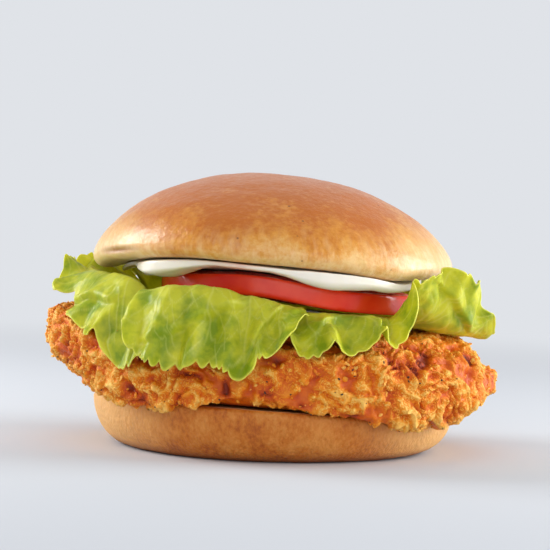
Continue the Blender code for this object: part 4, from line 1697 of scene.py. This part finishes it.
@dataclass(frozen=True)
class LettuceLeaf:
    """A torn piece of leaf: its ribs in order of angle, the waves of its free edge, its teeth and its veins."""

    name: str
    ribs: tuple[Rib, ...]
    waves: float
    phase: float
    lift: float
    veins: tuple[Vein, ...]
    folds: tuple[Fold, ...] = ()
    notches: tuple[Notch, ...] = ()
    columns: int = 260
    rows: int = 84
    inner_reach: float = 16 * MM
    shelf_reach: float = 41 * MM
    swell: float = 2.4 * MM
    out_length: float = 52.0
    thickness: float = 0.35 * MM
    tooth: float = 3.0 * MM
    tooth_depth: float = 0.05
    frill: float = 2.4
    billow: float = 1.9
    blister: float = 0.7
    vein_height: float = 0.12 * MM

    def rib_at(self, degrees: float) -> tuple[Vector, Vector, float, float]:
        """Blends the two ribs beside an angle.

        Args:
            degrees: the angle.

        Returns:
            The crest and the edge, each a radius and a height, the ruffle and the tuck, in metres.
        """
        before, after = self.ribs[-2:]
        for left, right in zip(self.ribs, self.ribs[1:]):
            if degrees <= right.angle:
                before, after = left, right
                break
        share = smooth_step(before.angle, after.angle, degrees)
        crest = Vector(before.crest).lerp(Vector(after.crest), share)
        edge = Vector(before.edge).lerp(Vector(after.edge), share)
        ruffle = before.ruffle + (after.ruffle - before.ruffle) * share
        tuck = before.tuck + (after.tuck - before.tuck) * share
        return crest * MM, edge * MM, ruffle * MM, tuck * MM

    def level(self, reach: float, angle: float) -> float:
        """Gives the height of the leaf's hidden part over the fillet."""
        x, y = reach * math.cos(angle), reach * math.sin(angle)
        away = min(1.0, math.hypot(x / (67.9 * MM), y / (55.5 * MM)))
        return FILLET_TOP.z(x, y) + self.swell * (1 - away**2) + self.lift * MM

    def point(self, u: float, v: float) -> Vector:
        """Places a point of the leaf.

        Args:
            u: how far round the stack it is, from 0 to 1.
            v: how far out it is, from 0 at the hidden inner end to 1 at the free edge.

        Returns:
            The point.
        """
        degrees = self.ribs[0].angle * (1 - u) + self.ribs[-1].angle * u
        angle = math.radians(degrees)
        crest, edge, ruffle, tuck = self.rib_at(degrees)
        stops = [Vector((reach, self.level(reach, angle))) for reach in (self.inner_reach, self.shelf_reach)]
        stops += [crest, edge]
        point = along_profile(stops, v)
        along = (along_profile(stops, v + 0.01) - along_profile(stops, v - 0.01)).normalized()
        normal = Vector((-along.y, along.x))
        wave = 2 * math.pi * self.waves * u + self.phase
        free = smooth_step(0.5, 1.05, v)
        point += normal * ruffle * free * math.sin(wave)
        arc = u * self.length
        normal_shift = self.frill * smooth_step(0.74, 1.0, v) * noise.noise(Vector((arc / 3.0, v * 1.5, self.phase)))
        normal_shift += self.billow * smooth_step(0.35, 0.75, v) * noise.noise(Vector((arc / 9, v * 4, self.phase + 7)))
        for fold in self.folds:
            normal_shift -= self.sunk(fold, u, v)
        point += normal * normal_shift * MM
        point.x -= tuck * math.sin(math.pi * smooth_step(0.58, 1.0, v)) ** 2
        angle += 0.45 * ruffle * free**1.5 * math.cos(wave) / point.x
        placed = Vector((point.x * math.cos(angle), point.x * math.sin(angle), point.y))
        bulge = (noise.noise(placed * 150) + 0.35 * noise.noise(placed * 420)) * self.blister * MM
        bulge *= smooth_step(0.3, 0.6, v)
        return placed + Vector((normal.x * math.cos(angle), normal.x * math.sin(angle), normal.y)) * bulge

    @property
    def length(self) -> float:
        """The leaf's length round the stack, in mm."""
        return math.radians(self.ribs[-1].angle - self.ribs[0].angle) * 60

    def sunk(self, fold: Fold, u: float, v: float) -> float:
        """Gives how far, in mm, a fold lets the leaf sink at one place."""
        start = Vector((fold.start[0] * self.length, fold.start[1] * self.out_length))
        run = Vector((fold.end[0] * self.length, fold.end[1] * self.out_length)) - start
        here = Vector((u * self.length, v * self.out_length)) - start
        share = here.dot(run) / run.length_squared
        beyond = (run.x * here.y - run.y * here.x) / run.length
        beyond += 1.2 * noise.noise(Vector((share * 3.1, 0.7, self.phase)))
        window = smooth_step(-0.12, 0.2, share) * (1 - smooth_step(0.8, 1.12, share))
        drop = smooth_step(-0.4, 0.9, beyond) * math.exp(-max(0.0, beyond) / fold.fade)
        return fold.depth * window * (drop - 0.35 * math.exp(-abs(min(0.0, beyond + 0.4)) / 2))

    def reach_at(self, u: float) -> float:
        """Gives how far out the toothed free edge reaches, where 1 is the plain edge."""
        teeth = self.length * MM / self.tooth
        wander = noise.noise(Vector((u * teeth * 0.35, 3.7, self.phase))) * 1.6
        saw = abs(math.sin(math.pi * (teeth * u + wander)))
        size = 0.6 + 0.9 * noise.noise(Vector((u * teeth * 0.8, 9.2, self.phase)))
        slow = noise.noise(Vector((u * teeth * 0.3, 1.2, self.phase)))
        gap = sum(notch.depth * math.exp(-(((u - notch.place) / notch.width) ** 2)) for notch in self.notches)
        return 1 - self.tooth_depth * size * (1 - saw**0.8) + 0.02 * slow - gap

    def shading(self, u: np.ndarray, v: np.ndarray) -> tuple[np.ndarray, np.ndarray, np.ndarray]:
        """Works out the veins and the pale parts of the leaf over its grid.

        Args:
            u: each point's place round the stack.
            v: each point's place from the inner end to the edge.

        Returns:
            How much each point is vein, how pale it is and how near it is to the rim, which carries a painted
            highlight.
        """
        vein = np.zeros_like(u)

        def draw(start: tuple[float, float], lean: float, width: float, reach: float) -> None:
            """Adds one vein that bends outward along its run."""
            run = v - start[1]
            share = np.clip(run / reach, 0, 1)
            path = start[0] + lean * run * (1 - 0.35 * share) + 0.004 * np.sin(run * 26 + start[0] * 40)
            slope = lean * (1 - 0.7 * share) * self.length / self.out_length
            distance = np.abs(u - path) * self.length / np.sqrt(1 + slope**2)
            life = eased(0, 0.02, run) * (1 - eased(0.8, 1.0, run / reach))
            np.maximum(vein, life * np.exp(-((distance / (width * (1.1 - 0.6 * share))) ** 2)), out=vein)

        for one in self.veins:
            draw((one.start, 0.2), one.lean, one.width * 0.6, 0.78)
            for branch in range(8):
                from_v = 0.42 + 0.065 * branch
                side = (-1) ** branch * (0.9 + 0.25 * math.sin(5.3 * branch + 9 * one.start))
                from_u = one.start + one.lean * (from_v - 0.2) * (1 - 0.35 * (from_v - 0.2) / 0.78)
                draw((from_u, from_v), side * self.out_length / self.length, 0.3 * one.width, 0.34 - 0.02 * branch)
        heart = 1 - eased(0.3, 0.8, v)
        # The last sliver by the free edge gets the painted rim highlight.
        rim = eased(0.985, 0.998, v)
        return vein, np.clip(0.3 * vein + 0.25 * heart, 0, 1), 0.75 * rim

    def build(
        self, finish: bpy.types.Material, solids: Sequence[tuple[BVHTree, float]], sheets: Sequence[BVHTree]
    ) -> BVHTree:
        """Makes the leaf clear of the food round it and dresses it.

        Args:
            finish: the leaf's colours.
            solids: the search trees of the food, each with the distance to keep from it.
            sheets: the search trees of the leaves under it.

        Returns:
            The leaf's own search tree.
        """
        grown = bmesh.new()
        bmesh.ops.create_grid(grown, x_segments=self.columns, y_segments=self.rows, size=0.5)
        grown.verts.ensure_lookup_table()
        u = np.array([vertex.co.x + 0.5 for vertex in grown.verts])
        v = np.array([vertex.co.y + 0.5 for vertex in grown.verts]) ** 0.8
        vein, pale, rim = self.shading(u, v)
        for vertex, along, out in zip(grown.verts, u, v):
            vertex.co = self.point(along, out * self.reach_at(along))
        bmesh.ops.reverse_faces(grown, faces=grown.faces)
        for _ in range(2):
            for vertex in grown.verts:
                point = vertex.co.copy()
                for tree, distance in solids:
                    point = nearest_clear(point, tree, distance)
                for sheet in sheets:
                    point = over_sheet(point, sheet, self.thickness + 0.4 * MM)
                vertex.co = point
            bmesh.ops.smooth_vert(grown, verts=grown.verts, factor=0.3, use_axis_x=True, use_axis_y=True, use_axis_z=True)
        grown.normal_update()
        for vertex, strength in zip(grown.verts, vein):
            vertex.co += vertex.normal * float(strength) * self.vein_height
        mesh = bpy.data.meshes.new(f"{self.name}_torn")
        grown.to_mesh(mesh)
        sheet = BVHTree.FromBMesh(grown)
        grown.free()
        store(mesh, "pale", pale)
        store(mesh, "rim_highlight", rim)
        mesh.materials.append(finish)
        piece = new_piece(f"{self.name}_torn", mesh)
        wall = piece.modifiers.new("leaf_wall", "SOLIDIFY")
        wall.thickness = self.thickness
        wall.offset = 0
        make_real(piece)
        piece.data.shade_smooth()
        settle_in(piece, "lettuce", self.name)
        return sheet


def along_profile(stops: Sequence[Vector], v: float) -> Vector:
    """Follows a smooth curve through a leaf's four stops.

    Args:
        stops: the inner end, the end of the flat part, the crest and the edge.
        v: how far along the curve, from 0 to 1.

    Returns:
        The curve's radius and height there.
    """
    reached = (0.0, 0.26, 0.58, 1.0)
    part = 0 if v < reached[1] else 1 if v < reached[2] else 2
    t = (v - reached[part]) / (reached[part + 1] - reached[part])
    slopes = []
    for here in (part, part + 1):
        before, after = max(0, here - 1), min(3, here + 1)
        slopes.append((stops[after] - stops[before]) / (reached[after] - reached[before]))
    width = reached[part + 1] - reached[part]
    return (
        stops[part] * (2 * t**3 - 3 * t**2 + 1)
        + stops[part + 1] * (3 * t**2 - 2 * t**3)
        + slopes[0] * width * (t**3 - 2 * t**2 + t)
        + slopes[1] * width * (t**3 - t**2)
    )


LEAVES = (
    LettuceLeaf(
        "lettuce_left",
        (
            Rib(150, (49, 48.7), (57, 51.5), 1.2),
            Rib(163, (51, 51.0), (60, 54.7), 1.8),
            Rib(172, (52.5, 51.2), (62, 56.7), 2.0),
            Rib(180, (54, 51.5), (65, 54.7), 2.2),
            Rib(188, (54.8, 52.4), (66.5, 48.7), 2.2),
            Rib(197, (55, 53.2), (67, 42.7), 1.6),
            Rib(208, (54.5, 53.0), (67.5, 39.2), 1.2),
            Rib(219, (54.5, 50.7), (67, 32.7), 1.6),
            Rib(228, (53.5, 46.2), (65.5, 26.2), 1.5),
            Rib(236, (52, 43.7), (64, 29.7), 0.8),
        ),
        waves=6.5,
        phase=0.6,
        lift=1.1,
        veins=(Vein(0.12, 0.05, 0.7), Vein(0.34, 0.12, 0.8), Vein(0.56, 0.02, 0.8), Vein(0.8, -0.05, 0.9)),
        notches=(Notch(0.3, 0.05, 0.02), Notch(0.56, 0.13, 0.035), Notch(0.8, 0.06, 0.02)),
        folds=(Fold((0.5, 0.98), (0.82, 0.72), 2.6), Fold((0.12, 0.95), (0.4, 0.6), 2.4)),
    ),
    LettuceLeaf(
        "lettuce_right",
        (
            Rib(271, (45, 42.7), (51.5, 40.7), 0.4),
            Rib(280, (49, 43.5), (61, 33.2), 2.8),
            Rib(289, (50, 43.7), (62.5, 34.2), 4.0),
            Rib(298, (50, 43.7), (62, 36.7), 4.4),
            Rib(307, (50, 43.1), (62.5, 37.7), 4.2),
            Rib(313, (50, 42.9), (61.5, 44.2), 3.0),
            Rib(318, (50, 43.7), (59.8, 52.5), 2.2),
            Rib(323, (51.5, 43.7), (59, 57.2), 1.8),
            Rib(329, (54, 42.7), (61, 57.7), 1.6),
            Rib(335, (57, 40.2), (64, 57.2), 1.8),
            Rib(341, (60, 38.2), (66.5, 53.2), 2.2),
            Rib(347, (61.5, 36.7), (68.5, 44.7), 2.4),
            Rib(354, (61.5, 36.2), (67.5, 37.7), 2.0),
            Rib(362, (57, 39.2), (64, 38.7), 1.2),
        ),
        waves=6.4,
        phase=0.84,
        lift=1.2,
        columns=320,
        veins=(
            Vein(0.1, 0.05, 0.6), Vein(0.27, 0.1, 0.7), Vein(0.43, 0.02, 0.7), Vein(0.6, 0.04, 0.9),
            Vein(0.74, 0.06, 0.9), Vein(0.88, 0.02, 0.8),
        ),
        notches=(Notch(0.625, 0.1, 0.012), Notch(0.72, 0.04, 0.012), Notch(0.8, 0.07, 0.02), Notch(0.93, 0.06, 0.02)),
        folds=(Fold((0.08, 0.92), (0.22, 0.62), 2.2), Fold((0.3, 0.95), (0.44, 0.62), 2.2), Fold((0.6, 0.9), (0.8, 0.6), 2.6)),
    ),
    LettuceLeaf(
        "lettuce_back",
        (
            Rib(13, (52, 47.7), (61, 48.2), 1.6),
            Rib(30, (50, 49.2), (60.5, 49.7), 2.2),
            Rib(48, (48, 48.7), (59, 44.7), 2.6),
            Rib(66, (46, 48.7), (59.5, 39.7), 3.0),
            Rib(86, (45, 48.7), (60, 34.7), 3.0),
            Rib(106, (45, 49.2), (60, 39.7), 3.0),
            Rib(124, (47, 49.9), (59, 46.7), 2.6),
            Rib(138, (48.5, 50.4), (59.5, 51.7), 2.0),
            Rib(152, (49.5, 50.8), (59, 53.6), 1.4),
        ),
        waves=7.0,
        phase=2.0,
        lift=1.1,
        columns=320,
        veins=(Vein(0.12, 0.04, 0.7), Vein(0.36, -0.03, 0.8), Vein(0.6, 0.04, 0.8), Vein(0.85, -0.04, 0.7)),
        notches=(Notch(0.25, 0.08, 0.02), Notch(0.52, 0.06, 0.03), Notch(0.76, 0.07, 0.02)),
    ),
    LettuceLeaf(
        "lettuce_front",
        (
            Rib(230, (59, 48.9), (67.5, 39.7), 0.8),
            Rib(235, (59.5, 49.7), (68.5, 30.7), 1.4),
            Rib(240, (58, 50.4), (68.5, 28.2), 1.6),
            Rib(246, (56, 50.7), (67, 27.2), 1.4, 1.5),
            Rib(254, (53, 49.7), (65, 28.2), 1.2, 3.0),
            Rib(262, (50.5, 47.9), (63, 25.7), 1.8, 2.5),
            Rib(268, (49.5, 46.5), (62, 29.7), 1.8, 1.0),
            Rib(274, (49.5, 46.1), (61.5, 36.7), 1.0),
            Rib(281, (48, 45.5), (56, 42.7), 0.6),
        ),
        waves=5.6,
        phase=1.2,
        lift=2.5,
        veins=(Vein(0.12, 0.1, 0.6), Vein(0.4, 0.05, 0.7), Vein(0.66, -0.04, 0.7), Vein(0.86, -0.06, 0.6)),
        folds=(Fold((0.12, 0.9), (0.62, 0.62), 3.4), Fold((0.6, 0.96), (0.86, 0.6), 1.8)),
    ),
)


# ---- studio ----


class LightPlace(Enum):
    """Where each soft light stands: its position in metres, its width and its power in watts."""

    LEFT = ((-0.55, 0.12, 0.26), 0.30, 3.4)
    RIGHT = ((0.57, 0.04, 0.18), 0.42, 4.4)
    ABOVE = ((0.0, 0.10, 0.95), 1.10, 1.2)
    FRONT = ((0.0, -1.0, 0.36), 1.20, 6.4)
    BACK = ((0.05, 0.95, 0.42), 1.00, 1.5)


@dataclass(frozen=True)
class Studio:
    """A pale floor, soft lights and a camera almost level with the burger."""

    floor_radius: float = 6.0
    field: float = 550 / 3.25 * MM
    distance: float = 0.80
    elevation: float = 2.5
    roll: float = 2.0
    target: tuple[float, float, float] = (0.6 * MM, 0.0, 52.7 * MM)
    sky: str = "#E0E3E8"
    sky_strength: float = 1.0
    fill_strength: float = 0.4

    def build(self) -> None:
        """Makes the floor, the sky, the lights and the camera."""
        grown = bmesh.new()
        bmesh.ops.create_circle(grown, cap_ends=True, segments=96, radius=self.floor_radius)
        mesh = bpy.data.meshes.new("studio_floor")
        grown.to_mesh(mesh)
        grown.free()
        mesh.materials.append(MattPaint(sky=self.sky, sky_strength=self.sky_strength).make())
        new_piece("studio_floor", mesh)
        world = bpy.data.worlds.new("studio_sky")
        world.use_nodes = True
        tree = world.node_tree
        fill = tree.nodes["Background"]
        fill.inputs["Color"].default_value = linear(self.sky)
        fill.inputs["Strength"].default_value = self.fill_strength
        seen = add_node(
            tree, "ShaderNodeBackground", {"Color": linear(self.sky), "Strength": self.sky_strength}
        )
        path = add_node(tree, "ShaderNodeLightPath")
        sky = add_node(
            tree,
            "ShaderNodeMixShader",
            {0: path.outputs["Is Camera Ray"], 1: fill.outputs[0], 2: seen.outputs[0]},
        )
        tree.links.new(sky.outputs[0], tree.nodes["World Output"].inputs["Surface"])
        bpy.context.scene.world = world
        middle = Vector(self.target)
        for place in LightPlace:
            position, width, power = place.value
            lamp = bpy.data.lights.new(f"softbox_{place.name.lower()}", "AREA")
            lamp.size = width
            lamp.energy = power
            holder = bpy.data.objects.new(lamp.name, lamp)
            bpy.context.scene.collection.objects.link(holder)
            holder.location = position
            holder.visible_camera = False
            holder.rotation_euler = (middle - Vector(position)).to_track_quat("-Z", "Y").to_euler()
        lens = bpy.data.cameras.new("camera")
        lens.sensor_width = 36
        lens.lens = lens.sensor_width * self.distance / self.field
        lens.clip_start = 0.01
        camera = bpy.data.objects.new("camera", lens)
        bpy.context.scene.collection.objects.link(camera)
        rise = math.radians(self.elevation)
        back = Vector((0, -math.cos(rise), math.sin(rise)))
        camera.location = middle + back * self.distance
        camera.rotation_mode = "QUATERNION"
        level = (-back).to_track_quat("-Z", "Y")
        camera.rotation_quaternion = level @ Matrix.Rotation(math.radians(self.roll), 4, "Z").to_quaternion()
        bpy.context.scene.camera = camera
        bpy.context.scene.view_settings.view_transform = "Standard"


def search_tree(node: str) -> BVHTree:
    """Makes a search tree of a solid's surface."""
    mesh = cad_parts[node].data
    return BVHTree.FromPolygons([v.co for v in mesh.vertices], [tuple(f.vertices) for f in mesh.polygons])


def main() -> None:
    """Builds the studio and every piece of the burger, from the bottom up."""
    logging.basicConfig(level=logging.INFO, format="%(name)s: %(message)s")
    Studio().build()
    relief = bread_relief()
    heel = BunHeel()
    heel.build(DryCrust().make(), relief)
    crust = FriedCrust().make()
    fillet = FriedFillet().build(crust, heel)
    solids = [(search_tree("chicken_fillet"), 1.7 * MM)]
    solids += [(search_tree(node), 0.75 * MM) for node in ("tomato_slice", "mayonnaise", "bun_crown")]
    sheets: list[BVHTree] = []
    leaf_finish = CrispLettuce("crisp_lettuce").make()
    for leaf in LEAVES:
        sheets.append(leaf.build(leaf_finish, solids, sheets))
    cover(fillet.data, sheets, 2.6 * MM)
    strewing = scattering()
    for bits in CRUST_BITS:
        bits.build(fillet, strewing, crust, "fried_crust")
    PEPPER_BITS.build(fillet, strewing, CrackedPepper().make(), "fried_crust")
    tomato = TomatoSlice()
    tomato.build(CutTomato().make())
    crown = BunCrown()
    Mayonnaise().build(WhippedMayonnaise().make(), relief, crown, tomato)
    crown.build(GlazedCrust().make(), relief)


if __name__ == "__main__":
    main()
